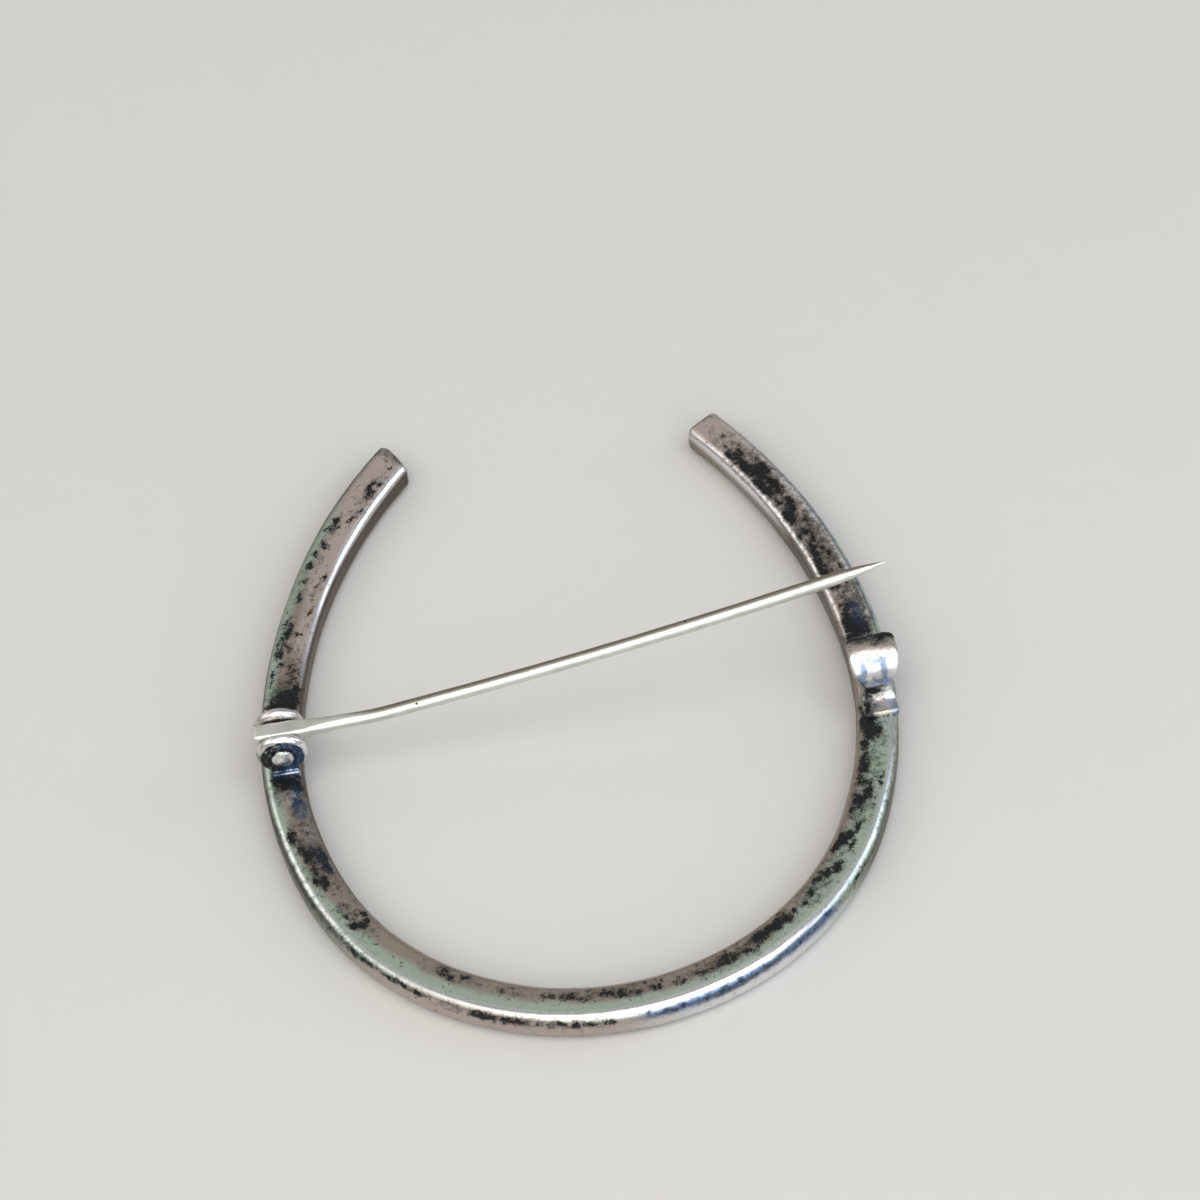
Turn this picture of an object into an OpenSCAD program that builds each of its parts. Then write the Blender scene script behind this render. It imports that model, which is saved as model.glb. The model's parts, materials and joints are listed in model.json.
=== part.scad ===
// Horseshoe brooch in aged silver, lying on its front face with its pin open.
// Millimetres, Z up, front face at z = 0, X across the horseshoe, heel opening towards +Y.

/* [Bow] */
// Width of the bar, seen from the back
bar_w = 3.3; // [2.9:0.1:3.6]
// Thickness of the bar, front to back
bar_t = 2.8; // [2.6:0.1:3.2]
// Rounding of the bar's two back edges
back_round = 0.8; // [0.5:0.1:0.9]
// Rounding of the bar's two front edges
front_round = 1.1; // [0.6:0.1:1.2]
// Rounding of the edges of the two cut ends
tip_round = 0.5; // [0.3:0.1:0.6]
// Centre-line radius of the toe
toe_r = 22.5; // [21.5:0.5:23.5]
// Angle that each half of the toe turns through
toe_turn = 66; // [64:1:68]
// Centre-line radius of the side arcs
side_r = 34.5; // [33:0.5:36]
// Angle that each side arc turns through
side_turn = 27.5; // [26:0.5:29]
// Centre-line radius of the right heel arc
right_heel_r = 51; // [48:1:54]
// Angle that the right heel arc turns through
right_heel_turn = 33; // [31:1:35]
// Centre-line radius of the left heel arc
left_heel_r = 47; // [44:1:50]
// Angle that the left heel arc turns through
left_heel_turn = 37.2; // [34:0.2:38]
// Angle by which the left end is cut off square, its outer edge the longer
left_slant = 21; // [0:1:24]

/* [Hinge] */
// Distance of the rivet from the middle line, to the left
hinge_x = 23.25; // [23:0.05:23.5]
// Distance of the pin's plane from the toe's centre line
hinge_y = 27.38; // [27:0.02:27.8]
// Height of the rivet's axis above the back of the bar
hinge_h = 2.2; // [2.15:0.05:2.4]
// Turn of the hinge about the vertical, so that the pin closes beside the catch
hinge_yaw = 1.4; // [1.2:0.1:1.8]
// Radius of the two round ears
ear_r = 2.03; // [1.8:0.01:2.1]
// Thickness of one ear
ear_t = 0.9; // [0.6:0.05:1]
// Gap between the pin's eye and each ear
side_gap = 0.15; // [0.1:0.01:0.2]
// Width of the neck below each ear, and of the base plate
neck_w = 2.3; // [2:0.1:2.6]
// Thickness of the base plate
plate_t = 0.45; // [0.3:0.05:0.5]
// How far the base plate stands out past each ear
plate_lip = 0.35; // [0.2:0.05:0.5]
// Radius of the rivet's shaft
rivet_r = 0.45; // [0.4:0.01:0.5]
// Radius of the rivet's domed heads
head_r = 0.89; // [0.8:0.01:1]
// Height of the rivet's domed heads
head_h = 0.3; // [0.2:0.01:0.35]

/* [Pin] */
// How far the pin is lifted above level where it lies open
pin_lift = 11.6; // [5:0.1:20]
// Length from the rivet's axis to the point
pin_l = 49.65; // [48:0.05:50.5]
// Radius of the round stem
stem_r = 0.54; // [0.5:0.01:0.6]
// Radius of the stem's slight bow
bow_r = 370; // [350:10:400]
// Length of root, measured along the pin
root_l = 8; // [7:0.5:9]
// Length of the tapered point
point_l = 6.5; // [5.5:0.05:9]
// Thickness of the pin's eye along the rivet
eye_t = 1.45; // [1.2:0.05:1.5]
// Radius of the pin's eye
eye_r = 1.45; // [1.3:0.01:1.5]
// Reach of the square heel past the rivet
heel_reach = 2; // [1.7:0.05:2.1]

/* [Catch] */
// Outer radius of the hook
hook_r = 2.2; // [2:0.05:2.3]
// Thickness of the hook's strip
strip_t = 0.8; // [0.6:0.05:0.9]
// Width of the hook
hook_w = 3.86; // [3.4:0.02:4]
// Distance of the hook's centre from the toe's centre line
hook_y = 26.85; // [26.6:0.05:26.9]
// Height of the hook's centre above the back of the bar
hook_h = 2.5; // [2.4:0.05:2.6]
// Angle at which the hook's lip ends, above the direction of the heel
lip_angle = 64; // [60:1:70]
// Inner radius of the bend between the hook and its foot
bend_r = 0.8; // [0.6:0.05:0.9]
// Thickness of the foot where it is soldered down
foot_t = 0.45; // [0.35:0.05:0.6]
// Width of the foot
foot_w = 2.8; // [2.4:0.1:3]
// Width of the neck between the hook and the foot
catch_neck_w = 2.3; // [2:0.1:2.6]
// Distance of the foot's free end from the toe's centre line
foot_y = 23.2; // [23:0.1:23.6]
// Turn of the catch about the vertical
catch_yaw = 3; // [0:0.5:4]

/* [Hidden] */
$fn = 96;

silver = [0.74, 0.73, 0.69];
pin_silver = [0.8, 0.8, 0.77];

// Depth to which soldered parts run into the bar, for one closed solid
solder = 0.4;
// Clearance of the rivet in the ears, and of the pin's eye on the rivet
rivet_fit = 0.02;
eye_fit = 0.05;
// How much slimmer each arc of the bar is all round than the one before it, from the toe out
arc_step = 0.02;
heel_inset = 2 * arc_step;
// Angle by which an arc runs back into the one before it
arc_lap = 1.5;
// Facets that stand for one rounded edge of the bar and of an ear
edge_steps = 4;
rim_steps = 6;
// How far the pin's root and its stem run past their meeting point, inside each other
knee_lap = 0.1;

// How far the pin's root leans back from the line between rivet and point
root_tilt = 11.6;
// Radius of the root where it leaves the eye, and the place of its centre there
root_r = 0.62;
root_start = [0.8, 0.8];
// Length of the square block over the eye, and how far its top stands above the eye
block_end = 1.2;
block_rise = [0.02, 0.05];
// Radius of the pin's point, and the power of its taper
tip_r = 0.03;
taper_power = 2.4;

side_turned = toe_turn + side_turn;

// Stack of the hinge along its rivet, from the pin's plane outwards
ear_in = eye_t / 2 + side_gap;
ear_out = ear_in + ear_t;

// Start of the next arc of the centre line, from the last one's start, heading, radius and turn
function arc_end(p, heading, r, turn) = [
  p[0] + r * (sin(heading + turn) - sin(heading)),
  p[1] - r * (cos(heading + turn) - cos(heading))
];
side_start = arc_end([0, 0], 0, toe_r, toe_turn);
heel_start = arc_end(side_start, toe_turn, side_r, side_turn);
left_tip = arc_end(heel_start, side_turned, left_heel_r, left_heel_turn);
// Distance of the bar's centre line from the middle where the horseshoe is widest
widest_x = side_start[0] + side_r * (1 - sin(toe_turn));

// Points of a round corner about a centre, from one angle to another
function corner(c, r, from, to, steps) = [
  for (i = [0:steps]) c + r * [cos(from + (to - from) * i / steps), sin(from + (to - from) * i / steps)]
];

// Height above the hook's centre at which its strip reaches its full width, and its distance behind the centre
shoulder_rise = 0.7 * hook_r;
hook_shoulder_y = sqrt(hook_r * hook_r - shoulder_rise * shoulder_rise);

// Place of the origin: midway between the hook and the ears, and between the toe and the highest tip
left_turned = side_turned + left_heel_turn;
corner_back = tip_round * (1 - cos(60));
corner_out = bar_w / 2 - heel_inset - tip_round * (1 - sin(60));
highest_y = left_tip[1] + (corner_out * tan(left_slant) - corner_back) * sin(left_turned)
  - corner_out * cos(left_turned);
catch_out = hook_w / 2 * cos(catch_yaw) + hook_shoulder_y * sin(catch_yaw);
centre_x = (widest_x + catch_out - hinge_x - ear_r - ear_out * sin(hinge_yaw)) / 2;
centre_y = (highest_y - bar_w / 2) / 2;

// Section of the bar at a distance from the arc's centre, its back at y = 0
module bar_section(r, inset) {
  in = r - bar_w / 2;
  out = r + bar_w / 2;
  back = back_round - inset;
  front = front_round - inset;
  polygon(concat(
    corner([out - back_round, -back_round], back, 0, 90, edge_steps),
    corner([in + back_round, -back_round], back, 90, 180, edge_steps),
    corner([in + front_round, front_round - bar_t], front, 180, 270, edge_steps),
    corner([out - front_round, front_round - bar_t], front, 270, 360, edge_steps)
  ));
}

// One arc of the bar that leaves point p at a heading and turns left, after a lap into the last arc
module bar_arc(p, heading, r, turn, inset = 0, lap = 0) {
  translate([p[0] - r * sin(heading), p[1] + r * cos(heading), 0])
    rotate_extrude(angle = turn + lap, start = heading - 90 - lap, $fn = 180)
      bar_section(r, inset);
}

module side_arc() {
  bar_arc(side_start, toe_turn, side_r, side_turn, arc_step, arc_lap);
}

// A row of points, and after it the same row turned over the x axis
function both_sides(points) = concat(points, [
  for (i = [len(points) - 1:-1:0]) [points[i][0], -points[i][1]]
]);

// Outline of a cut end with its two corners broken, the middle of the end at the origin
module end_outline(half, slant = 0) {
  far = 80;
  run = 0.3;
  shoulder = -tip_round - run;
  square_end = both_sides([
    [-far, far],
    [shoulder, far],
    [shoulder, half + run * tan(15)],
    [-tip_round * (1 - cos(60)), half - tip_round * (1 - sin(60))],
    [-tip_round * (1 - cos(30)), half - tip_round * (1 - sin(30))],
    [0, half - tip_round]
  ]);
  polygon([for (point = square_end) [point[0] - point[1] * tan(slant), point[1]]]);
}

// Arc of the heel, run past its end, which is cut square to the bar or at a slant and broken all round
module heel_arc(r, turn, slant = 0) {
  tip = arc_end(heel_start, side_turned, r, turn);
  intersection() {
    bar_arc(heel_start, side_turned, r, turn + arc_lap, heel_inset, arc_lap);
    translate([tip[0], tip[1], -bar_t / 2])
      rotate(side_turned + turn)
        intersection() {
          linear_extrude(2 * bar_t, center = true) end_outline(bar_w / 2 - heel_inset, slant);
          rotate([90, 0, slant]) linear_extrude(2 * toe_r, center = true) end_outline(bar_t / 2 - heel_inset);
        }
  }
}

// Puts its children on the front face, over the origin
module in_place() {
  translate([-centre_x, -centre_y, bar_t]) children();
}

module bow() {
  bar_arc([-side_start[0], side_start[1]], -toe_turn, toe_r, 2 * toe_turn);
  side_arc();
  heel_arc(right_heel_r, right_heel_turn);
  mirror([1, 0, 0]) {
    side_arc();
    heel_arc(left_heel_r, left_heel_turn, left_slant);
  }
}

// Places its children at the rivet, with the rivet's axis along Y
module at_hinge() {
  translate([-hinge_x, hinge_y, hinge_h]) rotate(hinge_yaw) children();
}

// Turns a shape drawn about Z so that it stands about the rivet's axis
module along_rivet(y) {
  translate([0, y, 0]) rotate([90, 0, 0]) children();
}

// One round ear with a rounded rim, on its neck
module ear(y) {
  rim = ear_t / 2;
  along_rivet(y)
    rotate_extrude()
      polygon(concat([[0, -rim]], corner([ear_r - rim, 0], rim, -90, 90, rim_steps), [[0, rim]]));
  translate([-neck_w / 2, y - rim, -hinge_h - solder]) cube([neck_w, ear_t, hinge_h + solder - ear_r / 2]);
}

module hinge_ears() {
  plate_l = 2 * (ear_out + plate_lip);
  difference() {
    union() {
      ear(ear_in + ear_t / 2);
      ear(-ear_in - ear_t / 2);
      translate([-neck_w / 2, -plate_l / 2, -hinge_h - solder]) cube([neck_w, plate_l, plate_t + solder]);
    }
    along_rivet(0) cylinder(h = 2 * ear_out + 1, r = rivet_r + rivet_fit, center = true);
  }
}

// Sector of the catch's strip about a centre in its own plane, seen from the side
module strip_sector(y, z, r, from, to, inset = 0) {
  translate([0, y, z])
    rotate([90, 0, 90])
      rotate_extrude(angle = to - from, start = from)
        translate([r + inset, -hook_w]) square([strip_t - 2 * inset, 2 * hook_w]);
}

module catch() {
  lap_angle = 5;
  lap = 0.1;
  bend_z = foot_t + bend_r;
  drop = hook_h - bend_z;
  reach = hook_r + bend_r;
  bend_y = hook_y - sqrt(reach * reach - drop * drop);
  meet = asin(drop / reach);
  translate([widest_x, hook_y, 0]) rotate(catch_yaw) translate([0, -hook_y, 0])
    intersection() {
      union() {
        strip_sector(hook_y, hook_h, hook_r - strip_t, lip_angle, 180 + meet);
        strip_sector(bend_y, bend_z, bend_r, -90, meet + lap_angle, arc_step);
        translate([-hook_w, foot_y, -solder]) cube([2 * hook_w, bend_y + lap - foot_y, foot_t + solder]);
      }
      translate([0, hook_y, 0])
        rotate([0, -90, 90])
          linear_extrude(4 * hook_r, center = true)
            polygon(both_sides([
              [-solder, foot_w / 2],
              [foot_t, foot_w / 2],
              [bend_z, catch_neck_w / 2],
              [hook_h + shoulder_rise, hook_w / 2],
              [hook_h + 2 * hook_r, hook_w / 2]
            ]));
    }
}

module horseshoe() {
  color(silver) in_place() {
    bow();
    at_hinge() hinge_ears();
    catch();
  }
}

// Domed head that stands on z = 0
module rivet_head() {
  dome_r = (head_r * head_r + head_h * head_h) / (2 * head_h);
  half = asin(head_r / dome_r);
  rotate_extrude()
    polygon(concat([[0, 0]], corner([0, head_h - dome_r], dome_r, 90 - half, 90, rim_steps)));
}

module hinge_rivet() {
  seat = ear_out + rivet_fit;
  color(silver)
    in_place() at_hinge() {
      along_rivet(0) cylinder(h = 2 * seat, r = rivet_r, center = true);
      along_rivet(-seat) rivet_head();
      mirror([0, 1, 0]) along_rivet(-seat) rivet_head();
    }
}

// Height of the bowed stem's centre line below the chord, at a distance along it
function stem_drop(s) = sqrt(bow_r * bow_r - pow(s - pin_l / 2, 2)) - sqrt(bow_r * bow_r - pin_l * pin_l / 4);
// Slope of the stem's centre line there
function stem_slope(s) = asin((s - pin_l / 2) / bow_r);

// Long bowed stem, from the end of the root to the start of the point
module stem() {
  from = stem_slope(root_l - knee_lap);
  to = stem_slope(pin_l - point_l);
  translate([pin_l / 2, 0, sqrt(bow_r * bow_r - pin_l * pin_l / 4)])
    rotate([90, 0, 0])
      rotate_extrude(angle = to - from, start = from - 90, $fn = 1440)
        translate([bow_r, 0]) circle(r = stem_r, $fn = 32);
}

// Long curved taper to the point
module point() {
  steps = 8;
  lap = 1;
  base_r = stem_r - 0.01;
  start = pin_l - point_l;
  translate([start, 0, -stem_drop(start)])
    rotate([0, 90 - stem_slope(start), 0])
      rotate_extrude()
        polygon(concat(
          [[0, -lap], [base_r, -lap]],
          [for (i = [0:steps]) [max(tip_r, base_r * (1 - pow(i / steps, taper_power))), point_l * i / steps]],
          [[0, point_l]]
        ));
}

// Straight root from the top of the eye to the stem
module root() {
  lean = [[cos(root_tilt), sin(root_tilt)], [-sin(root_tilt), cos(root_tilt)]];
  start = lean * root_start;
  end = [root_l, -stem_drop(root_l)];
  run = end - start;
  translate([start[0], 0, start[1]])
    rotate([0, atan2(run[0], run[1]), 0])
      cylinder(h = norm(run) + knee_lap, r1 = root_r, r2 = stem_r + 0.02);
}

// Round eye with the square heel that stops the pin when it is opened right up
module eye() {
  heel_in = 1.3;
  along_rivet(0) cylinder(h = eye_t, r = eye_r, center = true);
  rotate([90, 0, 0])
    linear_extrude(eye_t, center = true)
      polygon([
        [-heel_reach, eye_r + block_rise[0]],
        [block_end, eye_r + block_rise[1]],
        [block_end, 0],
        [-heel_in, 0]
      ]);
}

module pin() {
  color(pin_silver)
    in_place() at_hinge()
      difference() {
        union() {
          rotate([0, root_tilt - pin_lift, 0]) eye();
          rotate([0, -pin_lift, 0]) {
            root();
            stem();
            point();
          }
        }
        along_rivet(0) cylinder(h = 2 * eye_t, r = rivet_r + eye_fit, center = true);
      }
}

horseshoe();
hinge_rivet();
pin();
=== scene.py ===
"""Draws an aged silver horseshoe brooch, seen from its back, around its packed frame."""

import json
import math
from typing import NamedTuple

import bmesh
import bpy
from mathutils import Matrix, Quaternion, Vector, noise


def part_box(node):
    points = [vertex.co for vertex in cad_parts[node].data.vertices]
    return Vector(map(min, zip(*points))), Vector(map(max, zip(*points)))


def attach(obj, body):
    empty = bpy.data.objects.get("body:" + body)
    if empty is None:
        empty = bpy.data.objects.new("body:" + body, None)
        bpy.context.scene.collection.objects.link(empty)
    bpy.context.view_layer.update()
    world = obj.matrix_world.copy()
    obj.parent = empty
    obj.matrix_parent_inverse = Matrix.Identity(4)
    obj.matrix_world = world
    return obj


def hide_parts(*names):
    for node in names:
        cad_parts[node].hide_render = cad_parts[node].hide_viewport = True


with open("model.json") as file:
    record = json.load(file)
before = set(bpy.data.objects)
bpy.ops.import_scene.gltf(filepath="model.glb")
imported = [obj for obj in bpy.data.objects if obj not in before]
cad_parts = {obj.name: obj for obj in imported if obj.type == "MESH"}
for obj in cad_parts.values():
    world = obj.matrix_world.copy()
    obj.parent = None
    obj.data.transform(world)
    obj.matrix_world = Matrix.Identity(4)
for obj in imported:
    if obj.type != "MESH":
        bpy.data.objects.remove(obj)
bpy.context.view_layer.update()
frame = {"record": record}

bl_info = {
    "name": "Horseshoe brooch",
    "version": (1, 0, 0),
    "blender": (4, 5, 0),
    "location": "3D View > Sidebar > Brooch",
    "description": "Models a worn silver horseshoe brooch with its hinged pin and open catch",
    "category": "Add Mesh",
}

MM = 0.001
QUARTER = math.radians(90)
# Vertices that lie closer than this are one
MERGE = 0.001 * MM
# Edges longer than this are the flats of a cross section
FLAT = 0.9 * MM
# Where the hinge stands, across from the toe's middle line
HINGE_SIDE = -23.25 * MM
# Fineness of the mesh in which the ears melt into their plate
EAR_VOXEL = 0.05 * MM
# Lengths of the drills for the rivet's hole
EARS_DRILL = 6 * MM
PIN_DRILL = 4 * MM
# Waves of hand work: height, size in millimetres and seed of each
HAMMER_WAVES = ((0.6, 3.1, 3), (0.3, 1.3, 7), (0.1, 0.6, 9))
STRIP_WAVES = ((0.05, 1.1, 50), (0.016, 0.5, 57))
# The pin's squared heel: distance from its back face, lowest height and inset of each ring, in millimetres
HEEL_RINGS = ((0, 1.16, 0.16), (0.04, 1.06, 0.08), (0.12, 0.95, 0.03), (0.3, 0.68, 0))
RIVET = frame["record"]["behaviour"]["joints"][0]
RIVET_PLACE = Vector(RIVET["pos_m"])
RIVET_AXIS = Vector(RIVET["axis"])


# Sizes and colours

def length(name, description, default):
    return bpy.props.FloatProperty(
        name=name, description=description, default=default * MM, min=0.0, precision=5, unit="LENGTH")


def angle(name, description, default):
    return bpy.props.FloatProperty(
        name=name, description=description, default=math.radians(default), unit="ROTATION")


def share(name, description, default):
    return bpy.props.FloatProperty(
        name=name, description=description, default=default, min=0.0, max=1.0, subtype="FACTOR")


def colour(name, description, default):
    return bpy.props.FloatVectorProperty(
        name=name, description=description, default=default, size=3, min=0.0, max=1.0, subtype="COLOR")


def position(name, description, default):
    return bpy.props.FloatVectorProperty(
        name=name, description=description, default=default, subtype="XYZ", unit="LENGTH")


class BowSettings(bpy.types.PropertyGroup):
    """The bent bar."""

    width: length("Width", "Width of the bar across its back", 3.3)
    depth: length("Depth", "Depth of the bar from back to front", 2.8)
    back_round: length("Back rounding", "Radius of the long edges of the back", 0.8)
    front_round: length("Front rounding", "Radius of the long edges of the front", 1.1)
    tip_round: length("Tip rounding", "Radius of the edges round the catch arm's end", 0.5)
    hinge_tip_round: length("Hinge tip rounding", "Radius of the edges round the hinge arm's end", 0.5)
    slant: angle("Slant", "Angle by which the hinge arm's end is cut off square", 21)
    slant_reach: length("Slant reach", "How far the slanted end pulls the bar's surface with it", 3)
    toe_radius: length("Toe radius", "Radius of the bend at the toe", 22.5)
    toe_sweep: angle("Toe sweep", "Half the turn of the bend at the toe", 66)
    side_radius: length("Side radius", "Radius of the bend beside the toe", 34.5)
    side_sweep: angle("Side sweep", "Turn of the bend beside the toe", 27.5)
    catch_heel_radius: length("Catch heel radius", "Radius of the arm that carries the catch", 51)
    catch_heel_sweep: angle("Catch heel sweep", "Turn of the arm that carries the catch", 33.3)
    hinge_heel_radius: length("Hinge heel radius", "Radius of the arm that carries the hinge", 47)
    hinge_heel_sweep: angle("Hinge heel sweep", "Turn of the arm that carries the hinge", 37.6)
    ring_step: length("Ring step", "Distance between the mesh's rings", 0.2)
    toe_gain: share("Toe gain", "How much wider the bar is at the toe", 0.03)
    tip_loss: share("Tip loss", "How much narrower the bar is at its ends", 0.08)
    tip_flare: share("Tip flare", "How much wider the outer side of the hinge arm is at its end", 0.2)
    hammering: length("Hammering", "Height of the hand-made waves in the bar", 0.035)


class HingeSettings(bpy.types.PropertyGroup):
    """The two round ears, their plate and the rivet."""

    height: length("Height", "Height of the rivet above the bar's back", 2.2)
    ear_radius: length("Ear radius", "Radius of each round ear", 2.03)
    ear_thickness: length("Ear thickness", "Thickness of each ear", 0.9)
    rim_reach: length("Rim reach", "How far the ears' rounded rims reach in from their edge", 0.5)
    ear_gap: length("Ear gap", "Half the space between the ears", 0.875)
    neck_width: length("Neck width", "Width of the ears where they meet their plate", 2.3)
    plate_height: length("Plate height", "Height of the plate above the bar's back", 0.45)
    plate_lip: length("Plate lip", "How far the plate shows in front of each ear", 0.35)
    sunk: length("Sunk depth", "Depth that the plate sinks into the bar", 0.4)
    bore: length("Bore", "Radius of the hole for the rivet in each ear", 0.47)
    shaft_radius: length("Shaft radius", "Radius of the rivet's shaft", 0.45)
    head_radius: length("Head radius", "Radius of the rivet's domed heads", 0.89)
    head_height: length("Head height", "Height of the rivet's domed heads", 0.42)


class CatchSettings(bpy.types.PropertyGroup):
    """The strip that is bent into an open hook."""

    place: length("Place", "Distance from the toe's middle line to the hook's centre, across", 23.538)
    along: length("Along", "Distance from the toe to the hook's centre", 26.85)
    height: length("Height", "Height of the hook's centre above the bar's back", 2.5)
    radius: length("Hook radius", "Outer radius of the hook", 2.2)
    thickness: length("Thickness", "Thickness of the strip", 0.8)
    hook_width: length("Hook width", "Width of the strip round the hook", 3.86)
    neck_width: length("Neck width", "Width of the strip at its neck", 2.1)
    lip_round: length("Lip rounding", "Radius of the lip's two corners", 0.45)
    foot_width: length("Foot width", "Width of the soldered foot", 2.8)
    yaw: angle("Yaw", "Turn of the catch about the vertical", 3)
    lip_angle: angle("Lip angle", "Angle above level at which the hook's lip ends", 64)
    bend_radius: length("Bend radius", "Inner radius of the bend into the foot", 0.8)
    foot_height: length("Foot height", "Height of the foot's top above the bar's back", 0.45)
    foot_end: length("Foot end", "Distance from the toe to the foot's end", 23.2)
    edge_round: length("Edge rounding", "Radius of the strip's long edges", 0.2)


class PinSettings(bpy.types.PropertyGroup):
    """The pin, lifted clear of the catch."""

    reach: length("Reach", "Distance from the rivet to the point", 49.65)
    radius: length("Stem radius", "Radius of the round stem", 0.54)
    bow_radius: length("Bow radius", "Radius of the stem's slight bow", 370)
    taper: length("Taper", "Length of the drawn-out point", 6.5)
    lift: angle("Lift", "Angle of the stem above the bar's back", 11.6)
    eye_radius: length("Eye radius", "Radius of the flattened eye", 1.45)
    eye_thickness: length("Eye thickness", "Thickness of the flattened eye", 1.45)
    eye_bore: length("Eye bore", "Radius of the hole in the eye", 0.5)
    heel: length("Heel", "How far the eye's squared corner stands behind the rivet", 2.0)
    root: length("Root", "Distance from the rivet to where the stem becomes round", 8.0)


class FinishSettings(bpy.types.PropertyGroup):
    """Colours of the silver."""

    # Painted reflection: the halves of the crowned back mirror different parts of a room, brownish on the
    # inner half and greenish on the outer half
    brown_reflection: colour("Brown silver", "Silver on the inner side of the back", (0.4, 0.335, 0.29))
    sage_reflection: colour("Sage silver", "Silver on the outer side of the back", (0.5, 0.585, 0.51))
    # Colour of silver rubbed bright, also laid on as painted highlights
    bright: colour("Bright silver", "Silver rubbed bright on edges", (0.88, 0.87, 0.9))
    # Pinkish tone of the arms, also laid on as painted warm reflection on the toe's wall, the fittings'
    # left sides and the catch's bend
    blush_and_warm_reflection: colour("Blush", "Pinkish bloom on the arms", (0.6, 0.51, 0.47))
    # Bluish tarnish beside the fittings, also laid on as painted bluish reflection on the toe's wall, the
    # right arm's outer edge, the fittings' right sides and the catch
    bluing_and_reflection: colour("Bluing", "Bluish film beside the fittings", (0.19, 0.26, 0.41))
    # Brown film on the walls, which also stands in as painted shade where the walls mirror a dark surround
    patina_and_shade: colour("Patina", "Brown film on the bar's walls", (0.08, 0.062, 0.05))
    # Dark film round the tarnish, also used as painted shade on the ears' left and lower sides, the bar's
    # walls and the pin's back
    haze_and_shade: colour("Haze", "Thin dark film round the tarnish", (0.06, 0.062, 0.055))
    tarnish: colour("Tarnish", "Black tarnish in the hollows", (0.012, 0.013, 0.014))
    navy: colour("Navy", "Blue-black film on the ears", (0.02, 0.045, 0.1))
    stem: colour("Pin silver", "Satin silver of the pin", (0.74, 0.74, 0.69))
    # Painted dark reflection on the faces of the pin that look up and back
    taupe_back_shade: colour("Taupe", "Film on the pin's back", (0.27, 0.235, 0.185))


class StageSettings(bpy.types.PropertyGroup):
    """Floor, light and camera."""

    floor: colour("Floor", "Colour of the plain floor", (0.55, 0.535, 0.51))
    room: colour("Room", "Colour of the light from all round", (0.3, 0.3, 0.29))
    lens: bpy.props.FloatProperty(
        name="Lens", description="Focal length of the camera", default=138.0, unit="CAMERA")
    roll: angle("Roll", "Turn of the camera about its line of sight", -7.78)
    eye: position("Eye", "Place of the camera", (0.0024, -0.22742, 0.28627))
    aim: position("Aim", "Point that the camera looks at", (0.00298, 0.01044, 0.0028))


SETTINGS = {
    "brooch_bow": BowSettings,
    "brooch_hinge": HingeSettings,
    "brooch_catch": CatchSettings,
    "brooch_pin": PinSettings,
    "brooch_finish": FinishSettings,
    "brooch_stage": StageSettings,
}


# Where things lie

class BarArc(NamedTuple):
    """One bend of the bar's middle line, on the arm with positive x."""

    centre: Vector
    radius: float
    heading: float
    sweep: float
    start: float


def bar_arcs(bow, side):
    """The bends from the toe to one end; side is 1 for the catch's arm and -1 for the hinge's."""
    heel = (bow.catch_heel_radius, bow.catch_heel_sweep)
    if side < 0:
        heel = (bow.hinge_heel_radius, bow.hinge_heel_sweep)
    arcs = []
    spot = Vector((0, 0))
    heading = start = 0
    for radius, sweep in ((bow.toe_radius, bow.toe_sweep), (bow.side_radius, bow.side_sweep), heel):
        centre = spot + radius * Vector((-math.sin(heading), math.cos(heading)))
        arcs.append(BarArc(centre, radius, heading, sweep, start))
        heading += sweep
        start += radius * sweep
        spot = centre + radius * Vector((math.sin(heading), -math.cos(heading)))
    return arcs


def place_on_bar(point, arcs, side):
    """Distance along the bar from the toe, distance outwards from its middle line, and the way outwards."""
    for arc in arcs:
        across = Vector((side * point.x, point.y)) - arc.centre
        heading = math.atan2(across.x, -across.y)
        if heading < arc.heading - math.pi:
            heading += 2 * math.pi
        if heading <= arc.heading + arc.sweep:
            break
    along = arc.start + arc.radius * (heading - arc.heading)
    out = across.normalized()
    return along, across.length - arc.radius, Vector((side * out.x, out.y, 0))


def bench_to_frame():
    """Moves a shape drawn with the toe's middle at the origin and the back at z = 0 to its place."""
    bow = bpy.context.scene.brooch_bow
    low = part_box("horseshoe")[0]
    return Matrix.Translation((RIVET_PLACE.x - HINGE_SIDE, low[1] + bow.width / 2, bow.depth))


def rivet_to_frame():
    """Moves a shape drawn about the rivet, with its axis along y, to its place."""
    turn = Vector((0, -1, 0)).rotation_difference(RIVET_AXIS)
    return Matrix.Translation(RIVET_PLACE) @ turn.to_matrix().to_4x4()


def smooth(low, high, value):
    """Goes smoothly from 0 to 1 while value goes from low to high."""
    step = min(max((value - low) / (high - low), 0), 1)
    return step * step * (3 - 2 * step)


# Where the silver is stained, and where highlights, shade and reflections are painted on it, read along
# each piece in millimetres

class Patch(NamedTuple):
    """An oval that marks a stain, a painted highlight, painted shade or a painted reflection: its middle
    along and across the piece, its length and width, and its strength.
    """

    along: float
    across: float
    length: float
    width: float
    strength: float


def ovals(*rows):
    """A chart of ovals of stain and painted light, from the numbers of each."""
    return [Patch(*row) for row in rows]


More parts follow.
